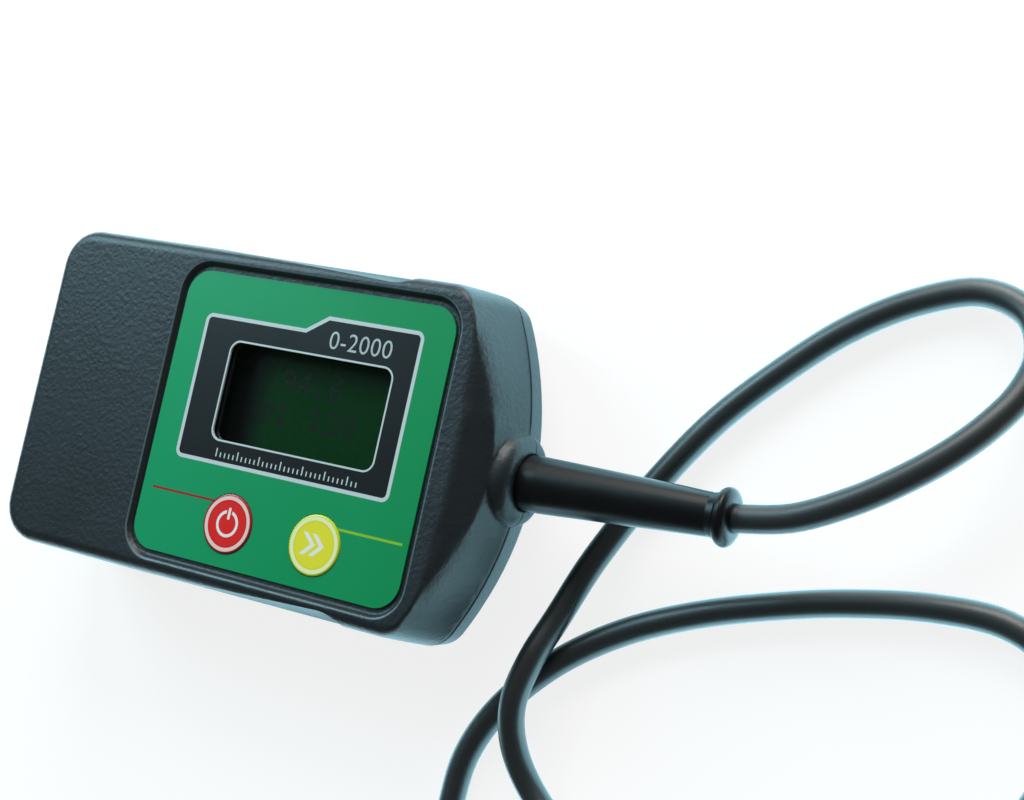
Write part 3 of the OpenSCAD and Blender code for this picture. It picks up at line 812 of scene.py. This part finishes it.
class MeshKit:
    """Small helpers that place, dress and shade pieces."""

    MERGE_MM = 0.002
    FLAT_DEG = 0.6
    NORMAL_WEIGHT = 80

    @staticmethod
    def dress(material: Material, *pieces: Piece) -> None:
        """Gives each piece that one material.

        Args:
            material: The material.
            *pieces: The pieces to dress.
        """
        for piece in pieces:
            piece.data.materials.clear()
            piece.data.materials.append(material)

    @staticmethod
    def coat(finish: Finish, *nodes: str) -> None:
        """Gives the CAD nodes of those names one finish."""
        MeshKit.dress(finish.material(), *(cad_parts[node] for node in nodes))

    @staticmethod
    def add(name: str, data: bpy.types.ID) -> Piece:
        """Links a new piece to the scene.

        Args:
            name: Name of the piece.
            data: Its mesh, curve, lamp or camera.

        Returns:
            The new piece.
        """
        piece = bpy.data.objects.new(name, data)
        bpy.context.scene.collection.objects.link(piece)
        return piece

    @staticmethod
    def add_shape(name: str, shape: Shape) -> Piece:
        """Links a new piece of that shape to the scene and frees the shape.

        Args:
            name: Name of the piece and its mesh.
            shape: The shape.

        Returns:
            The new piece.
        """
        mesh = bpy.data.meshes.new(name)
        shape.to_mesh(mesh)
        shape.free()
        return MeshKit.add(name, mesh)

    @staticmethod
    def smooth_copy(
        name: str,
        node: str,
        body: str,
        slot: str,
        sharp_deg: float,
        blend: Optional["CrescentBlend"] = None,
    ) -> Piece:
        """Stands a softly shaded copy in for a faceted CAD node.

        Args:
            name: Name of the new piece.
            node: The CAD node that it stands for.
            body: The body that it rides on.
            slot: Not used.
            sharp_deg: Edges that turn by more than this stay sharp.
            blend: Rounds the bowed end off, where the piece has one.

        Returns:
            The new piece.
        """
        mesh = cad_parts[node].data.copy()
        shape = bmesh.new()
        shape.from_mesh(mesh)
        bmesh.ops.remove_doubles(shape, verts=shape.verts, dist=MeshKit.MERGE_MM * MM)
        bmesh.ops.dissolve_limit(
            shape, angle_limit=math.radians(MeshKit.FLAT_DEG), verts=shape.verts, edges=shape.edges
        )
        if blend:
            blend.round_off(shape)
        shape.to_mesh(mesh)
        shape.free()
        for polygon in mesh.polygons:
            polygon.use_smooth = True
        mesh.set_sharp_from_angle(angle=math.radians(sharp_deg))
        piece = MeshKit.add(name, mesh)
        weigh = piece.modifiers.new("even_normals", "WEIGHTED_NORMAL")
        weigh.keep_sharp = True
        weigh.weight = MeshKit.NORMAL_WEIGHT
        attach(piece, body)
        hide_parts(node)
        return piece


@dataclass
class CrescentBlend:
    """Rounds off the meeting of the sloping crescent with the face and the bowed wall, in millimetres."""

    slope_deg: float = 40.0
    top_z: float = 27.0
    start_x: float = 44.2
    start_slack: float = 0.3
    cut_slack: float = 0.01
    full_x: float = 45.6
    low_z: Pair = (15.6, 18.4)
    collar_y: Pair = (9.2, 11.8)
    lip_z: float = 26.4
    facing: Pair = (0.4, 0.66)
    least_facing: float = 0.05
    ray_lift: float = 0.02
    mesh_step: float = 0.9
    snap: float = 0.03
    lip_step: float = 0.07
    grid_step: float = 0.4
    radius: float = 1.5
    reach_radii: float = 3.0
    steady: float = 1e-6
    along: Pair = (12.0, 33.0)
    across: float = 32.0
    ray_from: float = 80.0
    out: Vector = field(init=False)
    down: Vector = field(init=False)

    def __post_init__(self) -> None:
        """Works out the directions straight out of the slope and down along it."""
        slope = math.radians(self.slope_deg)
        self.out = Vector((math.sin(slope), 0.0, math.cos(slope)))
        self.down = Vector((math.cos(slope), 0.0, -math.sin(slope)))

    def round_off(self, shape: Shape) -> None:
        """Moves the points of the bowed end onto a smoothed surface.

        Args:
            shape: The front shell's mesh, in metres.
        """
        everything = shape.verts[:] + shape.edges[:] + shape.faces[:]
        plane = (self.start_x * MM, 0.0, 0.0)
        bmesh.ops.bisect_plane(shape, geom=everything, plane_co=plane, plane_no=(1.0, 0.0, 0.0))
        shape.normal_update()
        tree = BVHTree.FromBMesh(shape)
        mark = shape.faces.layers.int.new("bowed_end")
        for face in shape.faces:
            ahead = min(corner.co.x for corner in face.verts) > (self.start_x - self.cut_slack) * MM
            if ahead and face.normal.dot(self.out) > self.least_facing:
                start = face.calc_center_median() + self.out * self.ray_lift * MM
                face[mark] = int(tree.ray_cast(start, self.out)[0] is None)
        self._refine(shape, mark)
        shift = self._shift(tree)
        corners = self._corners(shape, mark)
        top = max(corner.co.z for corner in corners)
        for corner in corners:
            corner.co += self.out * self._read(shift, corner.co / MM) * MM
            corner.co.z = min(corner.co.z, top)
        shape.faces.layers.int.remove(mark)
        shape.normal_update()

    @staticmethod
    def _corners(shape: Shape, mark: bmesh.types.BMLayerItem) -> List[bmesh.types.BMVert]:
        """Gives each corner of the marked faces once, in the same order in each run."""
        return list(dict.fromkeys(corner for face in shape.faces if face[mark] for corner in face.verts))

    def _refine(self, shape: Shape, mark: bmesh.types.BMLayerItem) -> None:
        """Cuts the marked faces along a grid and closes the lip's fine steps.

        Args:
            shape: The mesh.
            mark: The face layer that marks the bowed end.
        """
        rows = np.arange(*self.along, self.mesh_step)
        columns = np.arange(-self.across, self.across, self.mesh_step)
        cuts = [self.down * row for row in rows] + [Vector((0.0, column, 0.0)) for column in columns]
        for place in cuts:
            faces = [face for face in shape.faces if face[mark]]
            edges = dict.fromkeys(edge for face in faces for edge in face.edges)
            bmesh.ops.bisect_plane(
                shape,
                geom=[*faces, *edges, *self._corners(shape, mark)],
                dist=self.snap * MM,
                plane_co=place * MM,
                plane_no=self.down if abs(place.x) > self.snap else (0.0, 1.0, 0.0),
            )
        bmesh.ops.remove_doubles(shape, verts=self._corners(shape, mark), dist=self.lip_step * MM)
        loose = [corner for corner in shape.verts if not corner.link_faces]
        bmesh.ops.delete(shape, geom=loose, context="VERTS")
        bmesh.ops.holes_fill(shape, edges=[edge for edge in shape.edges if edge.is_boundary])
        shape.normal_update()

    def _shift(self, tree: BVHTree) -> np.ndarray:
        """Works out how far each place of a grid over the bowed end moves outwards.

        Args:
            tree: The front shell's faces.

        Returns:
            The shift at each step along and across, in millimetres.
        """
        rows = int((self.along[1] - self.along[0]) / self.grid_step) + 1
        columns = int(2 * self.across / self.grid_step) + 1
        height, known, share = (np.zeros((rows, columns)) for _ in range(3))
        for row in range(rows):
            for column in range(columns):
                y = column * self.grid_step - self.across
                start = self.down * (self.along[0] + row * self.grid_step) + self.out * self.ray_from
                start.y = y
                place, normal, _, distance = tree.ray_cast(start * MM, -self.out)
                if place is None:
                    continue
                place = place / MM
                beside = abs(y) > self.collar_y[0] or place.z > self.lip_z
                height[row, column] = self.ray_from - distance / MM
                known[row, column] = float(place.x > self.start_x - self.start_slack and beside)
                share[row, column] = (
                    ease(place.x + (self.top_z - place.z), self.start_x, self.full_x)
                    * ease(place.z, *self.low_z)
                    * ease(abs(y), *self.collar_y)
                    * ease(normal.dot(self.out), *self.facing)
                )
        return share * known * (self._smoothed(height, known) - height)

    def _smoothed(self, height: np.ndarray, known: np.ndarray) -> np.ndarray:
        """Fits a plane to the neighbourhood of each place of the grid.

        Args:
            height: The heights.
            known: 1 where a height counts.

        Returns:
            The height of each fitted plane at its middle.
        """
        reach = int(self.reach_radii * self.radius / self.grid_step)
        rows, columns = height.shape
        sums = np.zeros((rows, columns, 3, 3))
        sides = np.zeros((rows, columns, 3))
        wide_height = np.pad(height, reach)
        wide_known = np.pad(known, reach)
        for i in range(-reach, reach + 1):
            for j in range(-reach, reach + 1):
                u = i * self.grid_step
                v = j * self.grid_step
                part = math.exp(-(u * u + v * v) / (2 * self.radius ** 2))
                window = (slice(reach + i, reach + i + rows), slice(reach + j, reach + j + columns))
                weight = part * wide_known[window]
                base = np.array((1.0, u, v))
                sums += weight[..., None, None] * np.outer(base, base)
                sides += (weight * wide_height[window])[..., None] * base
        sums += np.eye(3) * self.steady
        return np.linalg.solve(sums, sides[..., None])[..., 0, 0]

    def _read(self, shift: np.ndarray, place: Vector) -> float:
        """Reads the shift at a place, between the grid's steps.

        Args:
            shift: The shifts of the grid.
            place: The place in millimetres.

        Returns:
            The shift there.
        """
        row = (place.dot(self.down) - self.along[0]) / self.grid_step
        column = (place.y + self.across) / self.grid_step
        if not (0 <= row < shift.shape[0] - 1 and 0 <= column < shift.shape[1] - 1):
            return 0.0
        i = int(row)
        j = int(column)
        near = shift[i, j] * (1 - row + i) + shift[i + 1, j] * (row - i)
        far = shift[i, j + 1] * (1 - row + i) + shift[i + 1, j + 1] * (row - i)
        return float(near * (1 - column + j) + far * (column - j))


@dataclass
class Camera:
    """The photograph's viewpoint, in metres."""

    place: Point = (0.19682, -0.00534, 0.27765)
    right: Point = (0.8562, 0.2147, -0.4700)
    up: Point = (-0.1566, 0.9746, 0.1599)
    back: Point = (0.4924, -0.0633, 0.8681)
    photo_width: int = 1024
    focal_px: float = 1706.0
    sensor_mm: float = 36.0
    nearest: float = 0.01

    def build(self) -> None:
        """Makes the scene's camera."""
        data = bpy.data.cameras.new("camera")
        data.sensor_fit = "HORIZONTAL"
        data.sensor_width = self.sensor_mm
        data.lens = self.sensor_mm * self.focal_px / self.photo_width
        data.clip_start = self.nearest
        camera = MeshKit.add("camera", data)
        turn = Matrix((self.right, self.up, self.back)).transposed()
        camera.matrix_world = Matrix.Translation(self.place) @ turn.to_4x4()
        bpy.context.scene.camera = camera


@dataclass
class ProbeCord:
    """The probe's cable: loose loops, a tied coil of the spare length, and a tail to the probe."""

    diameter: float = 4.9
    length: float = 0.89
    boot_pivot: Point = (53.5, 0.0, 14.5)
    boot_l: float = 40.0
    boot_lean_deg: float = 1.8
    into_boot: float = 1.0
    coil_centre: Pair = (72.0, -102.0)
    outer_turn_r: float = 27.5
    inner_turn_r: float = 22.4
    upper_turn_r: float = 24.95
    lower_z: float = 3.2
    hump_z: float = 8.2
    upper_z: float = 7.5
    span_steps: int = 6
    turn_step_deg: int = 6
    coil_deg: Tuple[int, int] = (180, 990)
    inward_deg: Pair = (478, 524)
    upward_deg: Pair = (766, 832)
    outward_deg: Pair = (796, 842)
    settle_deg: Pair = (900, 936)
    round_steps: int = 5
    route: List[Point] = field(default_factory=lambda: [
        (103, 3.2, 14.6), (112, 7.6, 14.5), (119, 12.4, 13.8), (125, 17.6, 12.6), (129.8, 23.2, 10.8),
        (133.4, 29.6, 8.4), (134.4, 36.6, 6), (131, 43.2, 4.2), (122.6, 45.8, 3), (112.6, 43, 2.6),
        (103, 37.6, 2.6), (94, 30.2, 2.6), (82, 17.9, 2.6), (72.2, 3.6, 2.7), (64.8, -10.4, 3.3),
        (61, -22, 5.4), (58.8, -30, 7.7), (57.2, -38, 7.9), (57.8, -45.4, 5.6), (61.6, -52.4, 3.1),
        (69.4, -58.4, 2.6), (81, -62.6, 2.6), (97, -63.6, 2.6), (115, -60, 2.6), (132, -50.4, 2.6),
        (144.4, -36.4, 2.6), (148.4, -21.6, 2.6), (145, -10.6, 2.6), (137, -6.2, 2.6), (125, -6.1, 2.6),
        (111, -8.4, 2.6), (99, -11.5, 2.6), (86, -15.8, 2.6), (73, -21.8, 2.6), (61.6, -29.8, 2.6),
        (52.4, -40, 2.6), (47.4, -50.4, 2.6), (46.4, -62, 2.6), (45.6, -76, 2.7), (44.7, -90, 3),
        (44.5, -102, 3.2),
    ])
    tail: List[Point] = field(default_factory=lambda: [
        (72, -126.95, 7.5), (81, -127.1, 8.1), (89, -127.1, 7.8), (96.6, -127, 7),
    ])

    def build(self) -> Piece:
        """Returns:
            The cable's curve.
        """
        lean = math.radians(self.boot_lean_deg)
        along = Vector((math.cos(lean), math.sin(lean), 0.0))
        tip = Vector(self.boot_pivot) + along * self.boot_l
        start = tip - along * self.into_boot
        line = self._spline([tuple(start), tuple(tip), *self.route])[:-1]
        line += self._coil() + self._spline(self.tail)[1:]
        data = bpy.data.curves.new("probe_cord", "CURVE")
        data.dimensions = "3D"
        data.bevel_depth = 1.0
        data.bevel_resolution = self.round_steps
        data.use_fill_caps = True
        spline = data.splines.new("POLY")
        spline.points.add(len(line) - 1)
        for point, place in zip(spline.points, line):
            point.co = (*(part * MM for part in place), 1.0)
            point.radius = self.diameter / 2 * MM
        spline.use_smooth = True
        cord = MeshKit.add("probe_cord", data)
        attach(cord, HOUSING)
        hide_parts("probe_cable", "cable_coil", "cable_tail")
        return cord

    def _spline(self, points: Sequence[Point]) -> List[Point]:
        """Runs a smooth curve through the points.

        Args:
            points: The points that it passes.

        Returns:
            Close points along the curve.
        """
        last = len(points) - 1
        line = []
        for i in range(last):
            a, b, c, d = (Vector(points[min(max(i + k, 0), last)]) for k in (-1, 0, 1, 2))
            for step in range(self.span_steps):
                t = step / self.span_steps
                bend = (2 * a - 5 * b + 4 * c - d) * t ** 2 + (3 * b - a - 3 * c + d) * t ** 3
                line.append(tuple(0.5 * (2 * b + (c - a) * t + bend)))
        line.append(tuple(points[-1]))
        return line

    def _coil(self) -> List[Point]:
        """Winds the spare length: an outer turn, an inner one, and part of a turn on top of them.

        Returns:
            Close points along the turns.
        """
        line = []
        for degrees in range(self.coil_deg[0], self.coil_deg[1] + 1, self.turn_step_deg):
            inward = ease(degrees, *self.inward_deg)
            upward = ease(degrees, *self.upward_deg)
            outward = ease(degrees, *self.outward_deg)
            settle = ease(degrees, *self.settle_deg)
            radius = self.outer_turn_r + (self.inner_turn_r - self.outer_turn_r) * inward
            radius += (self.upper_turn_r - self.inner_turn_r) * outward
            z = self.lower_z + (self.hump_z - self.lower_z) * upward
            z += (self.upper_z - self.hump_z) * settle
            angle = math.radians(degrees)
            x = self.coil_centre[0] + radius * math.cos(angle)
            y = self.coil_centre[1] + radius * math.sin(angle)
            line.append((x, y, z))
        return line


@dataclass
class Housing:
    """The two moulded shells, the sliding battery door and the screws."""

    sharp_deg: float = 38.0

    def build(self) -> List[Piece]:
        """Makes and dresses the shells.

        Returns:
            The new pieces.
        """
        plastic = SparkErodedPlastic().material()
        rows = (
            ("front_housing", "front_shell", HOUSING, CrescentBlend()),
            ("back_housing", "back_shell", HOUSING, None),
            ("battery_cover", "battery_door", "door", None),
        )
        pieces = []
        for name, node, body, blend in rows:
            piece = MeshKit.smooth_copy(name, node, body, "housing", self.sharp_deg, blend)
            MeshKit.dress(plastic, piece)
            pieces.append(piece)
        screws = Metal("screw_steel", srgb(190, 192, 196), roughness=0.32, marks=(6.0, 6.0, 1.0))
        MeshKit.coat(screws, "case_screws", "board_screws")
        return pieces


@dataclass
class Face:
    """The printed label and its two keys."""

    power_at: Pair = (1.3, -18.9)
    function_at: Pair = (21.2, -18.9)
    key_r: float = 5.55
    numbers: str = "0-2000"
    numbers_at: Pair = (14.4, 16.2)
    numbers_h: float = 3.4
    numbers_lift: float = 0.01
    numbers_em: float = 1.4
    numbers_space: float = 1.05
    ink_mm: float = 0.004
    thin_mm: float = 0.02
    curve_steps: int = 4
    white: Colour = srgb(238, 236, 232)

    def build(self) -> List[Piece]:
        """Dresses the label and the keys and prints the range.

        Returns:
            The new pieces.
        """
        MeshKit.coat(FilmPrint(), "face_label")
        power = KeyPrint(
            "power_key_print", self.power_at, self.key_r, disc=srgb(226, 30, 26), rim=srgb(160, 30, 28),
            ring=srgb(240, 205, 198), sign=self.white, symbol=KeySymbol.POWER,
        )
        function = KeyPrint(
            "function_key_print", self.function_at, self.key_r, disc=srgb(234, 224, 50),
            rim=srgb(196, 212, 50), ring=srgb(240, 240, 190), sign=self.white, symbol=KeySymbol.NEXT,
        )
        MeshKit.coat(power, "power_key")
        MeshKit.coat(function, "function_key")
        return [self._range_numbers()]

    def _range_numbers(self) -> Piece:
        """Prints the plain measuring range in thin figures on the panel.

        Returns:
            The printed figures.
        """
        text = bpy.data.curves.new("range_numbers", "FONT")
        text.body = self.numbers
        text.size = self.numbers_h * self.numbers_em * MM
        text.space_character = self.numbers_space
        text.extrude = self.ink_mm * MM
        text.offset = -self.thin_mm * MM
        text.resolution_u = self.curve_steps
        lettering = MeshKit.add("range_lettering", text)
        bpy.context.view_layer.update()
        evaluated = lettering.evaluated_get(bpy.context.evaluated_depsgraph_get())
        mesh = bpy.data.meshes.new_from_object(evaluated)
        bpy.data.objects.remove(lettering)
        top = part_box("face_label")[1].z
        lift = top + self.numbers_lift * MM
        mesh.transform(Matrix.Translation((self.numbers_at[0] * MM, self.numbers_at[1] * MM, lift)))
        piece = MeshKit.add("range_numbers", mesh)
        ink = Moulding("pale_ink", srgb(188, 200, 202), roughness=0.36, grain_mm=0.3, depth_mm=0.004)
        MeshKit.dress(ink.material(), piece)
        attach(piece, HOUSING)
        return piece


@dataclass
class Display:
    """The display under the window, with two lines of dot-matrix figures."""

    lines: Tuple[Tuple[str, float, float], ...] = (("94.6", 3.4, 9.16), ("01 128", -0.1, 2.96))
    dot_pitch: float = 0.6
    dot: float = 0.56
    columns: int = 5
    letter_pitch: float = 3.75
    lift: float = 0.012
    # Each figure's rows of dots from the top, as bits from the left.
    figures: Dict[str, Tuple[int, ...]] = field(default_factory=lambda: {
        "0": (14, 17, 19, 21, 25, 17, 14),
        "1": (4, 12, 4, 4, 4, 4, 14),
        "2": (14, 17, 1, 2, 4, 8, 31),
        "4": (2, 6, 10, 18, 31, 2, 2),
        "6": (6, 8, 16, 30, 17, 17, 14),
        "8": (14, 17, 17, 14, 17, 17, 14),
        "9": (14, 17, 17, 15, 1, 2, 12),
        ".": (0, 0, 0, 0, 0, 12, 12),
        " ": (0, 0, 0, 0, 0, 0, 0),
    })

    def build(self) -> List[Piece]:
        """Dresses the display and adds its dark dots.

        Returns:
            The new pieces.
        """
        MeshKit.coat(ClearPane(), "display_pane")
        MeshKit.coat(LiquidCrystal(), "display_glass")
        sheet = Moulding("blackened_sheet", srgb(20, 22, 23), roughness=0.45, grain_mm=0.4, depth_mm=0.008)
        MeshKit.coat(sheet, "display_frame")
        white = Moulding("white_moulding", srgb(222, 222, 212), roughness=0.5, grain_mm=0.8)
        MeshKit.coat(white, "display_backlight", "sensor_connector")
        return [self._dots()]

    def _dots(self) -> Piece:
        """Makes one thin tile for each dark dot.

        Returns:
            The dots as one piece.
        """
        shape = bmesh.new()
        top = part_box("display_glass")[1].z / MM + self.lift
        for text, left, middle in self.lines:
            for place, letter in enumerate(text):
                self._figure(shape, letter, left + place * self.letter_pitch, middle, top)
        piece = MeshKit.add_shape("display_dots", shape)
        crystal = Moulding("dark_crystal", srgb(2, 6, 5), roughness=0.3, grain_mm=0.3, depth_mm=0.002)
        MeshKit.dress(crystal.material(), piece)
        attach(piece, HOUSING)
        return piece

    def _figure(self, shape: Shape, letter: str, left: float, middle: float, top: float) -> None:
        """Adds the dots of one figure.

        Args:
            shape: The mesh to add to.
            letter: The figure.
            left: Its left edge along the label's X, in millimetres of the frame.
            middle: Its middle across the label.
            top: Height of the dots.
        """
        rows = self.figures[letter]
        half = self.dot / 2
        for row, bits in enumerate(rows):
            y = middle + ((len(rows) - 1) / 2 - row) * self.dot_pitch
            for column in range(self.columns):
                if not bits >> (self.columns - 1 - column) & 1:
                    continue
                x = left + column * self.dot_pitch
                corners = ((-half, -half), (half, -half), (half, half), (-half, half))
                shape.faces.new([
                    shape.verts.new(((x + dx) * MM, (y + dy) * MM, top * MM)) for dx, dy in corners
                ])


@dataclass
class Inside:
    """The boards, parts and battery inside the housing."""

    def build(self) -> None:
        """Dresses every inner node."""
        MeshKit.coat(SolderMask(), "display_board", "main_board")
        package = Moulding("black_package", srgb(32, 33, 35), roughness=0.48, grain_mm=0.25)
        MeshKit.coat(
            package, "controller_chip", "amplifier_chip", "regulator_chip", "display_header",
            "power_switch", "function_switch", "battery_clip",
        )
        MeshKit.coat(Metal("capacitor_can", srgb(70, 76, 92), roughness=0.3), "filter_capacitors")
        MeshKit.coat(Metal("crystal_can", srgb(200, 203, 206), roughness=0.28), "crystal")
        MeshKit.coat(BatteryWrap(), "battery")
        MeshKit.coat(Metal("stud_plate", srgb(205, 200, 188), roughness=0.3), "battery_studs")
        leads = Moulding("lead_insulation", srgb(150, 36, 36), roughness=0.42, grain_mm=0.4, depth_mm=0.004)
        MeshKit.coat(leads, "battery_leads", "sensor_leads")


@dataclass
class Probe:
    """The boots, the tie and the probe at the end of the cable."""

    def build(self, cord: Piece) -> None:
        """Dresses the cable and all that is on it.

        Args:
            cord: The cable's curve.
        """
        jacket = Moulding(
            "cable_jacket", srgb(32, 40, 42), roughness=0.42, grain_mm=0.35, depth_mm=0.008, gloss=0.8
        )
        MeshKit.dress(jacket.material(), cord)
        rubber = Moulding("boot_rubber", srgb(13, 15, 17), roughness=0.34, depth_mm=0.008, gloss=0.26)
        MeshKit.coat(rubber, "cable_boot", "probe_boot")
        strap = Moulding("tie_strap", srgb(18, 19, 20), roughness=0.6, grain_mm=0.6, depth_mm=0.04)
        MeshKit.coat(strap, "cable_tie")
        handle = Moulding("probe_handle", srgb(30, 33, 36), roughness=0.4, grain_mm=0.4, depth_mm=0.02)
        MeshKit.coat(handle, "probe_body")
        turned = Metal("turned_aluminium", srgb(186, 190, 196), roughness=0.26, marks=(8.0, 0.5, 0.5))
        MeshKit.coat(turned, "probe_nose")
        MeshKit.coat(Metal("polished_steel", srgb(205, 208, 212), roughness=0.14), "probe_tip")


@dataclass
class Lamp:
    """One soft box that points at the gauge."""

    name: str
    place: Point
    size: float
    watts: float
    colour: Point = (1.0, 1.0, 1.0)
    aim: Point = (0.03, 0.0, 0.01)

    def build(self) -> None:
        """Makes the lamp."""
        data = bpy.data.lights.new(self.name, "AREA")
        data.size = self.size
        data.energy = self.watts
        data.color = self.colour
        lamp = MeshKit.add(self.name, data)
        lamp.location = self.place
        ahead = Vector(self.aim) - Vector(self.place)
        lamp.rotation_euler = ahead.to_track_quat("-Z", "Y").to_euler()


@dataclass
class Studio:
    """Plain pale floor, soft light and a white surround."""

    floor_side: float = 6.0
    floor_parts: int = 8
    floor_drop: float = 0.0003
    floor_colour: Colour = (0.9, 0.9, 0.9, 1.0)
    fibre_mm: float = 3.0
    paper_roughness: float = 0.85
    paper_uneven: float = 0.1
    seen_white: float = 0.75
    seen_strength: float = 1.1
    mirrored_colour: Colour = (0.5, 0.9, 1.04, 1.0)
    mirrored_strength: float = 4.6
    shaded_box: RoundBox = (109.0, 64.0, 8.0)
    shaded_mm: float = 30.0
    shaded_share: float = 0.7
    pool_mm: Pair = (84.0, 112.0)
    surround: float = 0.16
    surround_colour: Colour = (0.95, 1.0, 1.02, 1.0)
    lamps: Tuple[Lamp, ...] = (
        Lamp("left_box", (-0.64, 0.42, 0.58), size=0.46, watts=6.0, colour=(0.56, 0.95, 1.1)),
        Lamp("back_box", (0.02, 0.80, 0.42), size=0.6, watts=8.0, colour=(1.0, 1.0, 0.96)),
    )

    def build(self) -> None:
        """Makes the floor, the lamps and the world."""
        scene = bpy.context.scene
        scene.view_settings.view_transform = "Standard"
        self._floor()
        self._world(scene)
        for lamp in self.lamps:
            lamp.build()

    def _floor(self) -> None:
        """Lays the floor just under the gauge."""
        shape = bmesh.new()
        parts = self.floor_parts
        bmesh.ops.create_grid(shape, x_segments=parts, y_segments=parts, size=self.floor_side / 2)
        floor = MeshKit.add_shape("studio_floor", shape)
        floor.location.z = -self.floor_drop
        MeshKit.dress(self._paper(), floor)

    def _paper(self) -> Material:
        """Makes the floor's paper, which the camera sees white and the gauge mirrors as a painted, glowing
        pool of light with painted shade near the housing.

        Returns:
            The new material.
        """
        graph = Graph("floor_paper")
        fibre = graph.noise(self.fibre_mm, detail=3.0)
        paper = graph.node("ShaderNodeBsdfPrincipled", {}, {
            "Base Color": self.floor_colour,
            "Roughness": self.paper_roughness + fibre * self.paper_uneven,
        })
        ray = graph.node("ShaderNodeLightPath").outputs
        white = {"Color": WHITE, "Strength": self.seen_strength}
        seen = graph.node("ShaderNodeMixShader", {}, {
            0: Value(graph, ray["Is Camera Ray"]) * self.seen_white,
            1: paper.outputs[0],
            2: graph.node("ShaderNodeEmission", {}, white).outputs[0],
        })
        x, y, _ = graph.place_mm()
        # Painted shade and light, seen only in reflections: the glow darkens within shaded_mm of the
        # housing and fades to plain white beyond the pool.
        away = graph.round_box(x, y, *self.shaded_box)
        shade = (1.0 - (away / self.shaded_mm).clamped()) * self.shaded_share
        outside = ((away - self.pool_mm[0]) / (self.pool_mm[1] - self.pool_mm[0])).clamped()
        pool = graph.mix(outside, self.mirrored_colour, darker(WHITE, 1 / self.mirrored_strength))
        bright = {
            "Color": graph.mix(shade, pool, BLACK),
            "Strength": self.mirrored_strength,
        }
        mirrored = graph.node("ShaderNodeMixShader", {}, {
            0: ray["Is Glossy Ray"],
            1: seen.outputs[0],
            2: graph.node("ShaderNodeEmission", {}, bright).outputs[0],
        })
        graph.node("ShaderNodeOutputMaterial", {}, {"Surface": mirrored.outputs[0]})
        return graph.owner

    def _world(self, scene: bpy.types.Scene) -> None:
        """Surrounds the scene with white for the camera and softer light for the object.

        Args:
            scene: The scene to light.
        """
        graph = Graph("surround", world=True)
        scene.world = graph.owner
        soft = {"Color": self.surround_colour, "Strength": self.surround}
        blend = graph.node("ShaderNodeMixShader", {}, {
            0: graph.node("ShaderNodeLightPath").outputs["Is Camera Ray"],
            1: graph.node("ShaderNodeBackground", {}, soft).outputs[0],
            2: graph.node("ShaderNodeBackground", {}, {"Color": WHITE}).outputs[0],
        })
        graph.node("ShaderNodeOutputWorld", {}, {"Surface": blend.outputs[0]})


def main() -> None:
    """Builds the sub-assemblies in order and reports each piece."""
    logging.basicConfig(level=logging.INFO, format="%(name)s: %(message)s")
    Camera().build()
    cord = ProbeCord().build()
    LOG.info("cable %s", cord.name)
    for assembly in (Housing(), Face(), Display()):
        for piece in assembly.build():
            LOG.info("piece %s", piece.name)
    Inside().build()
    Probe().build(cord)
    Studio().build()


if __name__ == "__main__":
    main()
